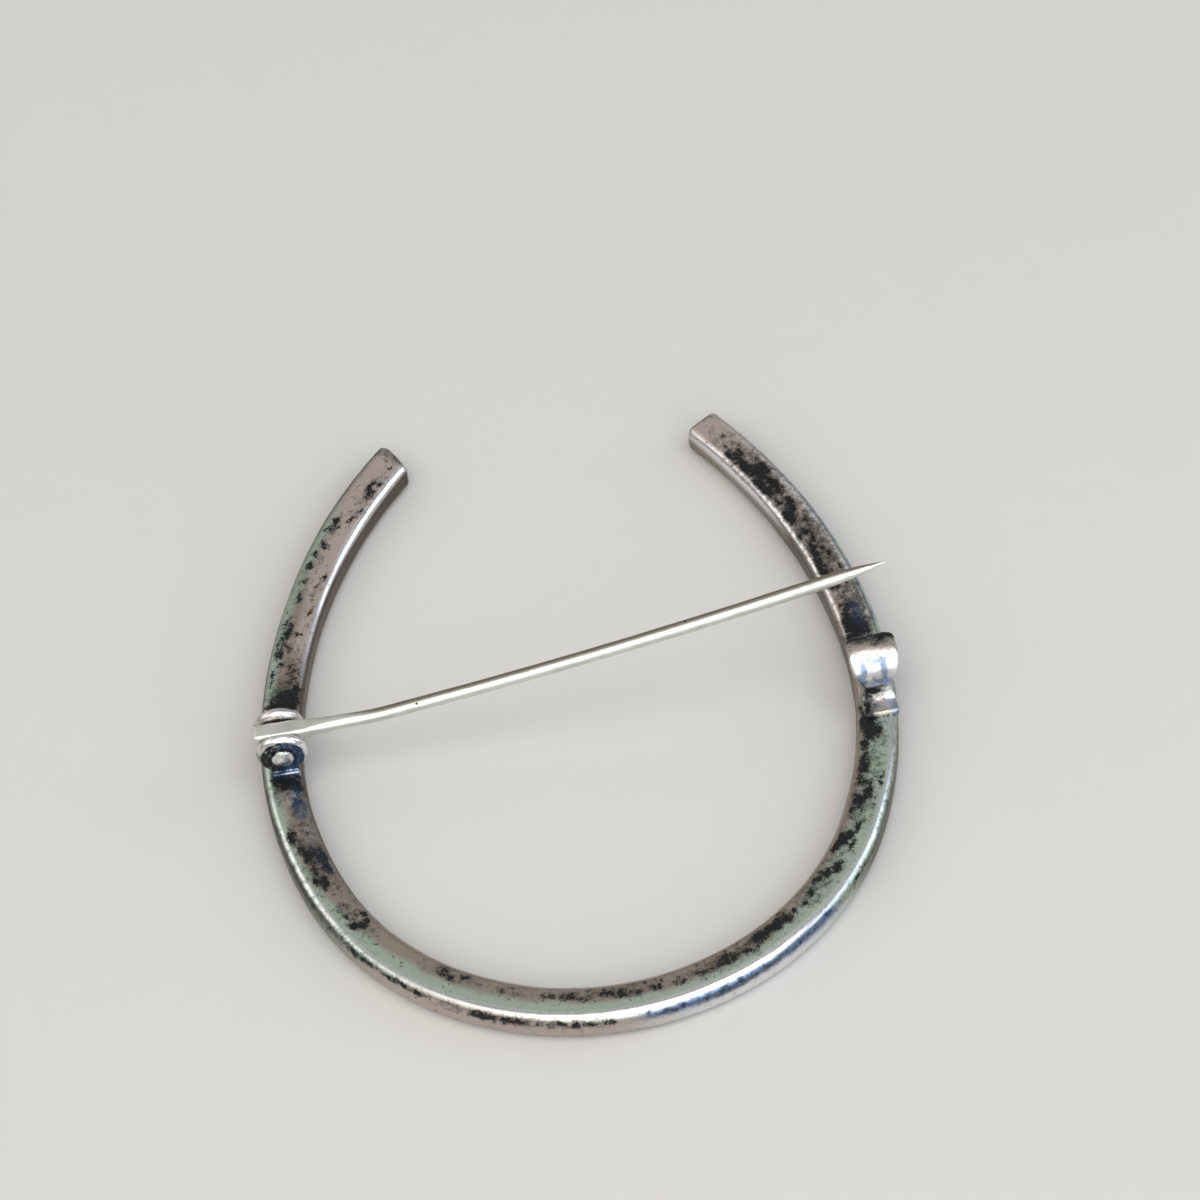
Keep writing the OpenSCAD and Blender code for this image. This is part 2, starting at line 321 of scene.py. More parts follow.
BOW_TARNISH = ovals(
    (-71.7, -0.3, 0.5, 0.9, 0.8),
    (-70.0, -0.7, 1.0, 0.6, 0.8),
    (-69.5, 0.0, 1.5, 0.5, 0.8),
    (-68.5, -0.5, 1.4, 0.9, 0.9),
    (-66.6, -0.7, 0.7, 0.7, 0.8),
    (-65.4, -0.4, 1.2, 0.4, 0.8),
    (-64.6, 0.6, 1.8, 0.7, 0.9),
    (-63.8, 1.1, 0.7, 0.4, 0.8),
    (-62.4, 0.6, 0.9, 0.9, 0.8),
    (-61.2, 0.8, 0.6, 0.5, 0.8),
    (-59.9, 0.9, 0.8, 0.7, 0.8),
    (-59.3, -0.8, 0.8, 0.3, 0.7),
    (-58.4, 0.6, 0.7, 0.5, 0.8),
    (-57.9, -0.5, 2.2, 0.3, 0.75),
    (-56.6, 0.5, 0.9, 0.6, 0.85),
    (-55.2, -0.8, 0.8, 0.4, 0.75),
    (-54.3, 0.8, 0.7, 0.5, 0.8),
    (-53.1, 0.6, 1.7, 0.9, 0.85),
    (-52.8, -0.2, 0.8, 0.4, 0.8),
    (-52.0, 0.9, 1.3, 0.9, 0.9),
    (-51.2, -0.1, 0.6, 0.4, 0.8),
    (-50.8, 0.8, 1.1, 0.8, 0.85),
    (-49.6, 0.6, 0.6, 0.6, 0.8),
    (-48.8, -0.6, 2.4, 1.2, 0.42),
    (-48.4, 1.1, 1.2, 0.4, 0.75),
    (-47.0, -1.0, 1.6, 1.1, 0.95),
    (-46.2, -0.5, 1.9, 1.9, 1.1),
    (-45.9, 0.4, 1.4, 0.9, 0.95),
    (-45.4, 0.0, 0.9, 3.0, 1.1),
    (-38.1, 0.3, 1.2, 1.3, 1.05),
    (-37.6, -0.5, 1.7, 1.7, 1.15),
    (-37.1, -1.1, 1.3, 0.9, 1.0),
    (-35.7, -0.9, 1.5, 1.0, 0.56),
    (-32.3, 0.6, 1.5, 0.7, 0.95),
    (-30.4, 0.1, 1.8, 0.8, 0.9),
    (-30.0, -0.5, 1.3, 0.8, 0.9),
    (-29.3, -1.0, 2.9, 0.8, 1.0),
    (-28.5, 0.1, 1.0, 0.5, 0.85),
    (-27.2, -0.1, 1.4, 0.7, 0.95),
    (-27.5, 0.4, 1.0, 0.5, 0.85),
    (-26.1, -0.7, 0.4, 0.3, 0.8),
    (-24.5, 0.1, 0.7, 0.4, 0.75),
    (-23.4, 0.2, 0.9, 0.4, 0.75),
    (-22.6, -1.1, 0.9, 0.6, 0.9),
    (-21.9, -0.5, 0.9, 1.4, 1.0),
    (-22.3, 0.2, 0.9, 0.5, 0.9),
    (-19.9, 0.2, 0.4, 0.3, 0.7),
    (-17.0, 0.2, 0.5, 0.3, 0.7),
    (-13.7, -0.6, 0.9, 0.8, 0.8),
    (-13.0, -0.4, 0.9, 0.6, 0.75),
    (-12.0, -0.8, 0.9, 0.5, 0.75),
    (-8.7, -0.3, 0.6, 0.4, 0.72),
    (-7.6, -0.5, 0.6, 0.5, 0.72),
    (-5.1, -0.5, 1.1, 0.7, 0.8),
    (-3.5, -0.6, 1.3, 0.8, 0.85),
    (-2.4, -0.2, 0.8, 0.5, 0.78),
    (-0.7, -0.6, 1.5, 0.7, 0.85),
    (0.6, -0.4, 1.4, 0.7, 0.85),
    (1.7, -0.3, 0.8, 0.4, 0.78),
    (3.3, -0.3, 1.1, 0.6, 0.82),
    (5.2, -0.1, 1.0, 0.5, 0.72),
    (6.9, -0.2, 0.9, 0.6, 0.8),
    (7.8, -0.1, 0.8, 0.5, 0.78),
    (9.2, -0.3, 2.0, 0.8, 0.9),
    (10.9, -0.1, 0.7, 0.6, 0.85),
    (11.5, 0.2, 0.6, 0.4, 0.8),
    (12.4, -0.5, 1.3, 1.0, 0.95),
    (13.3, -0.6, 1.4, 1.0, 1.0),
    (14.2, -0.6, 1.1, 0.9, 0.95),
    (15.1, -0.4, 1.0, 1.0, 0.95),
    (15.9, -0.5, 0.7, 0.6, 0.85),
    (15.0, -1.2, 0.9, 0.3, 0.75),
    (17.2, -0.3, 0.5, 0.4, 0.8),
    (18.2, -0.5, 0.9, 0.6, 0.85),
    (19.7, -0.8, 1.6, 0.5, 0.9),
    (20.2, -0.4, 1.3, 0.6, 0.9),
    (21.2, 0.0, 1.2, 0.7, 0.9),
    (23.3, -0.9, 2.2, 0.8, 1.05),
    (24.1, -0.4, 1.6, 0.7, 1.0),
    (23.6, 0.2, 1.0, 0.4, 0.85),
    (25.3, 0.1, 1.5, 0.4, 0.85),
    (26.7, -0.9, 0.6, 0.6, 0.9),
    (27.7, -0.6, 1.5, 1.3, 1.0),
    (28.9, 0.0, 1.1, 0.6, 0.95),
    (29.6, -0.3, 0.8, 0.8, 0.9),
    (29.7, -1.0, 1.0, 0.6, 0.95),
    (31.4, -0.8, 1.9, 0.9, 1.05),
    (27.6, 0.6, 0.7, 0.4, 0.85),
    (30.2, 0.8, 1.6, 0.3, 0.8),
    (33.5, -0.9, 1.6, 0.7, 0.95),
    (34.6, -0.6, 1.6, 1.2, 0.9),
    (35.8, -0.8, 1.6, 1.4, 1.1),
    (35.0, 0.2, 1.3, 0.6, 0.85),
    (36.8, -0.9, 1.2, 1.0, 0.9),
    (45.8, -0.3, 2.4, 2.3, 1.2),
    (44.4, -0.6, 1.4, 1.8, 1.0),
    (47.8, -0.2, 1.4, 1.3, 0.72),
    (48.0, 0.9, 2.2, 0.4, 0.85),
    (49.6, 1.0, 1.8, 0.4, 0.85),
    (50.4, -0.6, 1.4, 1.2, 0.8),
    (51.8, -0.8, 0.8, 1.0, 0.9),
    (51.9, 0.7, 0.8, 0.5, 0.85),
    (52.8, -0.8, 1.6, 0.9, 0.95),
    (53.5, 0.3, 0.9, 0.4, 0.85),
    (53.7, -0.6, 1.0, 0.8, 0.9),
    (54.7, -0.8, 0.9, 0.7, 0.9),
    (54.4, 0.1, 0.6, 0.5, 0.9),
    (55.5, -0.1, 0.9, 0.5, 0.85),
    (56.4, -1.1, 0.7, 0.5, 0.9),
    (56.7, -0.4, 0.7, 0.6, 0.9),
    (57.7, 0.2, 0.5, 0.4, 0.85),
    (58.6, -0.8, 1.6, 1.0, 1.0),
    (59.4, -0.2, 1.1, 0.7, 0.95),
    (60.1, 0.1, 1.0, 0.7, 0.95),
    (60.5, -0.6, 0.6, 0.5, 0.85),
    (61.7, -0.7, 1.3, 1.2, 1.0),
    (62.2, 0.0, 1.8, 0.9, 1.05),
    (63.0, -1.0, 1.7, 0.9, 1.0),
    (64.0, -0.2, 2.2, 1.2, 1.1),
    (65.1, -0.8, 2.0, 1.0, 1.1),
    (64.5, 0.5, 1.6, 0.6, 1.0),
    (66.4, -0.8, 1.8, 0.8, 1.0),
    (67.4, -1.0, 1.2, 0.6, 0.95),
    (67.0, -0.1, 0.8, 0.5, 0.9),
    (-19.8, 2.1, 2.2, 0.6, 0.85),
    (-16.6, 2.1, 2.0, 0.6, 0.85),
    (-14.8, 2.1, 1.2, 0.6, 0.85),
    (-9.7, 2.2, 1.7, 0.8, 0.95),
    (-7.4, 2.2, 1.6, 0.8, 0.95),
    (-4.1, 2.1, 1.0, 0.6, 0.85),
    (-3.0, 2.3, 1.0, 0.7, 0.85),
    (-1.9, 2.2, 1.0, 0.6, 0.85),
    (-0.5, 2.1, 1.2, 0.6, 0.85),
    (4.1, 2.2, 2.2, 0.7, 0.62),
    (8.0, 2.3, 5.0, 0.8, 0.66),
    (12.2, 2.2, 2.2, 0.6, 0.45),
    (14.6, 2.3, 2.8, 0.8, 0.55),
    (17.4, 2.2, 1.4, 0.6, 0.45),
    (21.5, 2.2, 2.0, 0.6, 0.5),
)
# Dark film round the tarnish, and painted shade in the bands along the outer walls
BOW_HAZE_AND_SHADE = ovals(
    (-68.5, -0.4, 6.0, 1.8, 0.5),
    (-56.5, 0.7, 20.0, 1.5, 0.65),
    (-55.0, -0.7, 9.0, 1.6, 0.45),
    (-50.0, 0.0, 7.0, 3.4, 0.6),
    (-47.0, -0.2, 4.0, 3.6, 0.95),
    (-37.6, -0.4, 4.0, 3.2, 1.1),
    (-34.8, -0.7, 4.0, 1.8, 0.9),
    (-29.5, -0.3, 9.0, 2.4, 1.0),
    (-23.0, -0.2, 5.0, 2.2, 0.75),
    (-13.0, -0.7, 6.0, 1.5, 0.7),
    (-7.0, -0.6, 6.0, 1.2, 0.55),
    (1.0, -0.5, 12.0, 1.3, 0.85),
    (11.0, -0.4, 12.0, 1.6, 0.95),
    (20.0, -0.4, 9.0, 1.8, 0.85),
    (29.0, -0.4, 13.0, 2.2, 0.95),
    (36.0, -0.4, 6.0, 2.6, 1.0),
    (45.5, -0.2, 5.0, 3.2, 1.1),
    (49.0, 0.2, 6.0, 2.8, 0.95),
    (56.0, -0.2, 14.0, 2.8, 1.25),
    (-73.2, 0.0, 1.6, 5.0, 0.9),
    (72.2, 0.0, 1.4, 5.0, 0.7),
    (64.5, -0.3, 10.0, 2.8, 1.1),
    (-27.0, 2.0, 26.0, 1.4, 0.9),
    (-7.0, 2.2, 14.0, 1.3, 0.9),
    (10.0, 2.2, 16.0, 1.2, 0.7),
    (30.0, 2.4, 26.0, 1.8, 0.7),
)
# Pinkish tone of the arms, and painted warm reflection on the toe's outer wall
BOW_BLUSH_AND_WARM_REFLECTION = ovals(
    (-69.5, -0.2, 9.0, 3.6, 1.3),
    (-61.5, -0.7, 12.0, 2.2, 1.2),
    (-53.5, -0.8, 7.0, 1.5, 0.9),
    (-1.0, -1.6, 16.0, 1.0, 0.6),
    (-9.0, 3.2, 26.0, 3.4, 1.0),
    (49.0, -0.2, 12.0, 2.8, 1.1),
    (58.0, -0.2, 14.0, 2.8, 1.2),
    (67.0, -0.2, 14.0, 3.4, 1.3),
)
# Rims rubbed bright, and painted highlights where lamps glint: on the toe's rim and wall and on the right
# tip's inner wall
RUBBED_RIM_AND_HIGHLIGHT = ovals(
    (-68.0, -1.45, 18.0, 1.0, 1.2),
    (-56.0, -1.5, 16.0, 0.6, 0.9),
    (-24.0, 1.25, 24.0, 0.5, 0.8),
    (-6.0, 1.2, 24.0, 0.6, 0.9),
    (10.0, 1.2, 24.0, 0.8, 1.0),
    (30.0, 1.3, 24.0, 0.5, 0.7),
    (11.0, 3.3, 18.0, 1.6, 0.8),
    (57.0, 1.0, 26.0, 0.7, 0.9),
    (56.0, -1.5, 24.0, 0.5, 0.9),
    (66.0, -2.1, 14.0, 1.3, 0.9),
    (25.0, 1.6, 0.8, 0.5, 1.0),
)
# Where the painted shade on the walls is lifted, because the walls there take painted light
LIT_WALL = ovals(
    (10.0, 3.0, 20.0, 6.0, 1.4),
    (-9.0, 3.0, 26.0, 6.0, 1.1),
    (66.0, -2.4, 14.0, 2.6, 1.0),
)
# Bluish tarnish near the hinge, and painted bluish reflection along the toe's wall and the right arm's
# outer edge
BOW_BLUING_AND_REFLECTION = ovals(
    (-37.0, -0.6, 4.0, 2.4, 0.25),
    (-35.2, -0.9, 4.0, 1.8, 0.7),
    (-30.5, -1.0, 9.0, 1.8, 0.42),
    (-25.0, -1.0, 9.0, 1.6, 0.32),
    (-47.0, -0.8, 2.6, 1.2, 0.3),
    (8.0, 2.3, 12.0, 1.4, 1.3),
    (15.0, 2.3, 7.0, 1.4, 1.4),
    (47.0, 0.4, 4.0, 1.6, 0.6),
    (56.0, 1.5, 28.0, 0.5, 0.9),
)
CATCH_TARNISH = ovals(
    (0.2, -1.0, 0.9, 2.0, 0.7),
    (0.2, 1.0, 0.9, 2.2, 0.78),
    (4.6, -0.5, 0.8, 1.0, 0.8),
    (5.1, -0.4, 0.9, 1.2, 0.85),
    (5.9, -0.8, 1.0, 0.7, 0.75),
    (6.6, -1.0, 1.2, 0.6, 0.75),
    (7.4, -1.0, 1.0, 0.6, 0.8),
)
CATCH_HAZE = ovals(
    (0.3, 0.0, 1.9, 5.0, 1.25),
    (1.5, 0.0, 1.4, 5.0, 0.6),
    (2.6, 0.1, 2.0, 2.2, 0.45),
    (3.5, 0.1, 1.2, 1.6, 0.7),
    (4.5, 0.2, 1.4, 1.2, 0.75),
    (5.9, -0.5, 2.0, 2.4, 1.0),
    (7.0, -0.9, 2.6, 1.6, 1.0),
    (8.2, -0.6, 1.6, 1.8, 0.9),
)
# Painted shade that mottles the hook's painted highlight
CATCH_SHADE = ovals(
    (1.9, 0.2, 0.8, 1.8, 0.9),
    (2.6, 0.62, 2.0, 0.5, 1.1),
    (2.6, -1.0, 1.4, 0.5, 0.9),
    (3.9, 0.3, 1.0, 1.8, 1.1),
    (3.4, -1.3, 1.2, 0.9, 0.9),
)
# Painted warm reflection in the catch's bend, and a pinkish band across the hook
CATCH_BLUSH_AND_WARM_REFLECTION = ovals(
    (1.2, 0.0, 1.4, 5.0, 0.8),
    (6.6, 0.3, 1.5, 1.7, 1.6),
)
PIN_TARNISH = ovals(
    (32.7, 0.1, 0.5, 0.3, 0.85),
    (21.0, 0.3, 0.4, 0.2, 0.75),
    (11.0, -0.3, 0.8, 0.2, 0.75),
)


def cover(chart, along, across):
    """How deep a point lies in a chart's ovals: a half at an oval's rim, its strength at the middle."""
    deepest = 0
    for patch in chart:
        reach = 2 * (along - patch.along) / patch.length
        if abs(reach) < 1.5:
            side = 2 * (across - patch.across) / patch.width
            deepest = max(deepest, patch.strength * (1 - 0.5 * (reach * reach + side * side)))
    return deepest


# Layers per vertex: besides stains and wear they carry painted shade, painted bluish and warm reflections
# and painted highlights, and across places the painted two-tone reflection on the back
LAYERS = ("tarnish", "haze_and_shade", "blush_and_warm_reflection", "bluing_and_reflection", "wall_patina_and_shade", "across", "wear_and_highlight")


def paint(piece, layers):
    """Stores one number per vertex for each named layer."""
    for name, values in layers.items():
        layer = piece.data.attributes.new(name, "FLOAT", "POINT")
        layer.data.foreach_set("value", values)


def paint_each(piece, stain_at):
    """Paints a piece: stain_at gives the value of each layer that isn't 0 at a vertex."""
    layers = {name: [] for name in LAYERS}
    for vert in piece.data.vertices:
        found = stain_at(vert)
        for name, values in layers.items():
            values.append(found.get(name, 0))
    paint(piece, layers)


# Mesh helpers

def edges_of(geometry):
    return [item for item in geometry if isinstance(item, bmesh.types.BMEdge)]


def verts_of(geometry):
    return [item for item in geometry if isinstance(item, bmesh.types.BMVert)]


def finish_mesh(bm, name, to_frame):
    """Closes a mesh, points its faces outwards, moves it to its place and returns its object."""
    bmesh.ops.remove_doubles(bm, verts=bm.verts, dist=MERGE)
    bmesh.ops.recalc_face_normals(bm, faces=bm.faces)
    bmesh.ops.transform(bm, matrix=to_frame, verts=bm.verts)
    mesh = bpy.data.meshes.new(name)
    bm.to_mesh(mesh)
    bm.free()
    mesh.shade_smooth()
    piece = bpy.data.objects.new(name, mesh)
    bpy.context.scene.collection.objects.link(piece)
    return piece


def apply_modifiers(piece):
    """Turns a piece's modifiers into its mesh."""
    graph = bpy.context.evaluated_depsgraph_get()
    mesh = bpy.data.meshes.new_from_object(piece.evaluated_get(graph))
    piece.modifiers.clear()
    old = piece.data
    piece.data = mesh
    bpy.data.meshes.remove(old)
    mesh.shade_smooth()


def bore(piece, radius, depth):
    """Cuts the rivet's round hole through a piece that is drawn about the rivet."""
    bm = bmesh.new()
    bmesh.ops.create_cone(
        bm, cap_ends=True, segments=48, radius1=radius, radius2=radius, depth=depth,
        matrix=Matrix.Rotation(QUARTER, 4, "X"))
    drill = finish_mesh(bm, "drill", Matrix())
    cut = piece.modifiers.new("bore", "BOOLEAN")
    cut.operation = "DIFFERENCE"
    cut.solver = "EXACT"
    cut.object = drill
    apply_modifiers(piece)
    bpy.data.objects.remove(drill)


def fuse(piece, voxel, rounds):
    """Melts a piece's overlapping solids into one, with soft inner corners as solder leaves them."""
    remesh = piece.modifiers.new("fuse", "REMESH")
    remesh.mode = "VOXEL"
    remesh.voxel_size = voxel
    soften = piece.modifiers.new("soften", "SMOOTH")
    soften.factor = 0.5
    soften.iterations = rounds
    apply_modifiers(piece)


def round_off(bm, geometry, radius, steps, affect):
    """Rounds corners or edges."""
    bmesh.ops.bevel(
        bm, geom=geometry, offset=radius, offset_type="OFFSET", segments=steps, profile=0.5,
        affect=affect, material=-1)


def add_block(bm, middle, sizes):
    """Adds a block with its middle at a place and returns its corners."""
    corners = bmesh.ops.create_cube(bm, size=1)["verts"]
    stretch = Matrix.Diagonal((*sizes, 1))
    bmesh.ops.transform(bm, matrix=Matrix.Translation(middle) @ stretch, verts=corners)
    return corners


def turn_round(bm, geometry, middle, steps):
    """Turns a profile all the way round the rivet's axis."""
    bmesh.ops.spin(
        bm, geom=geometry, cent=(0, middle, 0), axis=(0, 1, 0), angle=math.radians(360), steps=steps,
        use_merge=True, use_duplicate=False)


def section_point(turn, half_width, half_height, corner):
    """Point of a rounded oblong, as sideways and upward distances, at a turn round it."""
    corner = min(corner, half_width, half_height)
    sideways = math.cos(turn)
    upward = math.sin(turn)
    return (
        math.copysign(half_width - corner, sideways) + corner * sideways,
        math.copysign(half_height - corner, upward) + corner * upward,
    )


class Ring(NamedTuple):
    """A cross section on a path in an upright plane: its middle, its slope and its rounded oblong."""

    forward: float
    height: float
    slope: float
    half_width: float
    half_height: float
    corner: float


def draw_through(bm, rings, count, plane, cuts=0):
    """Extrudes a closed bar through rings; plane gives the ways forward, sideways and up, and cuts is how
    often each of its flats is cut."""
    forward, sideways, up = plane
    start = bmesh.ops.create_circle(bm, segments=count, radius=1)
    verts = start["verts"]
    edges = list({edge for vert in verts for edge in vert.link_edges})
    turns = [2 * math.pi * (step + 0.5) / count for step in range(count)]
    for index, ring in enumerate(rings):
        if index:
            grown = bmesh.ops.extrude_edge_only(bm, edges=edges)["geom"]
            fresh = set(verts_of(grown))
            edges = [edge for edge in edges_of(grown) if fresh.issuperset(edge.verts)]
            verts = [
                next(link.other_vert(vert) for link in vert.link_edges if link.other_vert(vert) in fresh)
                for vert in verts
            ]
        rise = math.cos(ring.slope) * up - math.sin(ring.slope) * forward
        middle = ring.forward * forward + ring.height * up
        for vert, turn in zip(verts, turns):
            aside, above = section_point(turn, ring.half_width, ring.half_height, ring.corner)
            vert.co = middle + aside * sideways + above * rise
    if cuts:
        flats = [edge for edge in bm.edges if edge.calc_length() > FLAT]
        bmesh.ops.subdivide_edges(bm, edges=flats, cuts=cuts, use_grid_fill=True)
    bmesh.ops.holes_fill(bm, edges=[edge for edge in bm.edges if edge.is_boundary], sides=0)


# Shader helpers

class Value:
    """A socket that Python's own signs work on; each sign adds a Math node."""

    def __init__(self, shader, socket):
        self.shader = shader
        self.socket = socket

    def math(self, operation, first, second):
        return self.shader.node("ShaderNodeMath", {"operation": operation}, {0: first, 1: second})

    def __add__(self, other):
        return self.math("ADD", self, other)

    def __radd__(self, other):
        return self.math("ADD", other, self)

    def __sub__(self, other):
        return self.math("SUBTRACT", self, other)

    def __rsub__(self, other):
        return self.math("SUBTRACT", other, self)

    def __mul__(self, other):
        return self.math("MULTIPLY", self, other)

    def __rmul__(self, other):
        return self.math("MULTIPLY", other, self)

    def step(self, low, high):
        """Goes smoothly from 0 to 1 while the value goes from low to high."""
        return self.shader.node(
            "ShaderNodeMapRange", {"interpolation_type": "SMOOTHSTEP", "clamp": True},
            {"Value": self, "From Min": low, "From Max": high})


class Shader:
    """A material's nodes."""

    def __init__(self, name):
        self.material = bpy.data.materials.new(name)
        self.material.use_nodes = True
        self.tree = self.material.node_tree
        self.surface = self.tree.nodes["Principled BSDF"]
        self.place = self.node("ShaderNodeTexCoord", output="Object")

    def set(self, node, inputs):
        for key, value in inputs.items():
            if isinstance(value, Value):
                self.tree.links.new(value.socket, node.inputs[key])
            else:
                node.inputs[key].default_value = value

    def node(self, kind, settings=None, inputs=None, output=0):
        """Adds a node, sets it and returns one of its outputs."""
        node = self.tree.nodes.new(kind)
        for key, value in (settings or {}).items():
            setattr(node, key, value)
        self.set(node, inputs or {})
        return Value(self, node.outputs[output])

    def noise(self, size, detail=3.0, roughness=0.55, vector=None):
        """Cloudy noise with features of about the given size in metres."""
        inputs = {
            "Vector": vector or self.place, "Scale": 1 / size, "Detail": detail, "Roughness": roughness,
        }
        return self.node("ShaderNodeTexNoise", {"noise_dimensions": "3D"}, inputs, "Fac")

    def layer(self, name):
        return self.node("ShaderNodeAttribute", {"attribute_name": name}, output="Fac")

    def mix(self, first, second, part):
        """Mixes two colours."""
        node = self.tree.nodes.new("ShaderNodeMix")
        node.data_type = "RGBA"
        self.set(node, {"Factor": part})
        for socket, value in ((node.inputs[6], first), (node.inputs[7], second)):
            if isinstance(value, Value):
                self.tree.links.new(value.socket, socket)
            else:
                socket.default_value = (*value, 1)
        return Value(self, node.outputs[2])

    def bump(self, height, depth, strength=1.0):
        inputs = {"Height": height, "Distance": depth, "Strength": strength}
        return self.node("ShaderNodeBump", None, inputs, "Normal")


def aged_silver(finish):
    """Hand-rubbed silver with black tarnish; a painted reflection makes the back brownish on its inner half
    and greenish on its outer half, painted shade darkens its walls, and edges are bright from rubbing and
    from painted highlights.
    """
    shader = Shader("worn_back_and_painted_light")
    clouds = shader.noise(2.2 * MM, 3)
    fine = shader.noise(0.55 * MM, 5, 0.65)
    grain = shader.noise(0.15 * MM, 3, 0.6)
    across = shader.layer("across")
    wear_and_highlight = shader.layer("wear_and_highlight")
    haze_and_shade = shader.layer("haze_and_shade")
    bluing_and_reflection = (shader.layer("bluing_and_reflection") + (fine - 0.5) * 0.7).step(0.2, 0.9)
    speckle = (fine - 0.5) * 3.2 + (grain - 0.5) * 1.9
    stain = shader.layer("tarnish") + haze_and_shade * 0.22 + speckle - wear_and_highlight * 0.9
    black = stain.step(0.5, 0.82)
    # Tarnish film and painted shade
    film_and_shade = shader.layer("tarnish") * 0.7 + haze_and_shade * 0.7 + (clouds - 0.5) * 0.6 + speckle * 0.6
    veil = film_and_shade.step(0.1, 0.95)
    pits = (grain + (fine - 0.5) * 0.6).step(0.64, 0.74)
    # Painted reflection: the back turns from the brownish tone on its inner half to the greenish one on its
    # outer half
    outer = (across + (clouds - 0.5) * 1.2 + (fine - 0.5) * 0.7).step(-0.35, 0.45)
    tone = shader.mix(finish.brown_reflection, finish.sage_reflection, outer)
    # Pinkish tone and painted warm reflection
    tone = shader.mix(tone, finish.blush_and_warm_reflection, (shader.layer("blush_and_warm_reflection") + (fine - 0.5) * 0.6).step(0.15, 0.8))
    # Brown patina and painted shade on the walls
    tone = shader.mix(tone, finish.patina_and_shade, shader.layer("wall_patina_and_shade"))
    # Bluish tarnish and painted bluish reflection
    tone = shader.mix(tone, finish.bluing_and_reflection, bluing_and_reflection)
    # Silver rubbed bright, and painted highlights
    tone = shader.mix(tone, finish.bright, wear_and_highlight)
    dull = shader.mix(tone, finish.haze_and_shade, veil * 0.8)
    coat = shader.mix(dull, finish.haze_and_shade, pits * (0.15 + haze_and_shade * 0.5) * (1 - wear_and_highlight))
    coat = shader.mix(coat, shader.mix(finish.tarnish, finish.navy, bluing_and_reflection), black)
    shader.set(shader.surface, {
        "Base Color": coat,
        "Metallic": 1 - 0.35 * black,
        "Roughness": 0.35 + (fine - 0.5) * 0.25 + black * 0.1 - wear_and_highlight * 0.14,
        "Normal": shader.bump(
            (fine * 0.5 + grain * 0.35) * (1 - wear_and_highlight * 0.75) - black * 0.4 - pits * 0.2, 0.03 * MM, 0.6),
    })
    return shader.material


def pin_silver(finish):
    """Satin silver with long brush streaks."""
    shader = Shader("satin_stem_with_painted_shade")
    settings = bpy.context.scene.brooch_pin
    turned = shader.node(
        "ShaderNodeMapping", {"vector_type": "POINT"},
        {"Vector": shader.place, "Rotation": (0, settings.lift, 0), "Scale": (0.06, 1, 1)})
    streaks = shader.noise(0.12 * MM, 3, 0.6, turned)
    clouds = shader.noise(1.8 * MM, 3)
    grain = shader.noise(0.16 * MM, 3, 0.6)
    pits = (shader.layer("tarnish") + (grain - 0.5) * 1.0).step(0.5, 0.62)
    dull = tuple(0.62 * part for part in finish.stem)
    tone = shader.mix(finish.stem, dull, (clouds + (streaks - 0.5) * 0.5).step(0.42, 0.8) * 0.5)
    # Painted dark reflection on the pin's back, with streaks
    film_and_shade = shader.layer("haze_and_shade") + (streaks - 0.5) * 0.4 + (grain - 0.5) * 0.3
    tone = shader.mix(tone, finish.taupe_back_shade, film_and_shade.step(0.1, 1.0))
    tone = shader.mix(tone, finish.tarnish, pits)
    shader.set(shader.surface, {
        "Base Color": tone,
        "Metallic": 1 - 0.3 * pits,
        "Roughness": 0.44 + (streaks - 0.5) * 0.2 + pits * 0.2,
        "Normal": shader.bump(streaks * 0.4 + grain * 0.12 - pits * 0.5, 0.012 * MM, 0.4),
    })
    return shader.material


def plain_floor(stage):
    """Matt pale floor."""
    shader = Shader("floor")
    speckle = shader.noise(3.0 * MM, 4)
    shader.set(shader.surface, {
        "Base Color": shader.mix(stage.floor, tuple(0.985 * part for part in stage.floor), speckle),
        "Roughness": 0.85,
    })
    return shader.material


FINISHES = {"aged_silver": aged_silver, "pin_silver": pin_silver}
made = {}


def shared_material(slot):
    """The material of a slot, made on its first use."""
    if slot not in made:
        made[slot] = FINISHES[slot](bpy.context.scene.brooch_finish)
    return made[slot]


def add_piece(piece, body, node, slot):
    """Gives a finished mesh its material, hangs it on its body and hides the part it stands for."""
    piece.data.materials.clear()
    piece.data.materials.append(shared_material(slot))
    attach(piece, body)
    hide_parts(node)


# Pieces

def bar_section(bm, bow):
    """Edges of the bar's rounded cross section at the toe, in the upright plane across the bar."""
    corners = bmesh.ops.create_grid(bm, x_segments=1, y_segments=1, size=0.5)["verts"]
    stand = Matrix.Translation((0, 0, -bow.depth / 2)) @ Matrix.Rotation(QUARTER, 4, "Y")
    bmesh.ops.transform(bm, matrix=stand @ Matrix.Diagonal((bow.depth, bow.width, 1, 1)), verts=corners)
    back = [vert for vert in corners if vert.co.z > -bow.depth / 2]
    front = [vert for vert in corners if vert.co.z < -bow.depth / 2]
    for group, radius, steps in ((back, bow.back_round, 9), (front, bow.front_round, 7)):
        round_off(bm, group, radius, steps, "VERTICES")
    shortest_flat = 0.4 * MM
    face_width = 0.14 * MM
    flats = [edge for edge in bm.edges if edge.calc_length() > shortest_flat]
    for edge in flats:
        cuts = round(edge.calc_length() / face_width) - 1
        bmesh.ops.subdivide_edges(bm, edges=[edge], cuts=cuts)
    bmesh.ops.delete(bm, geom=bm.faces[:], context="FACES_ONLY")
    return bm.edges[:]


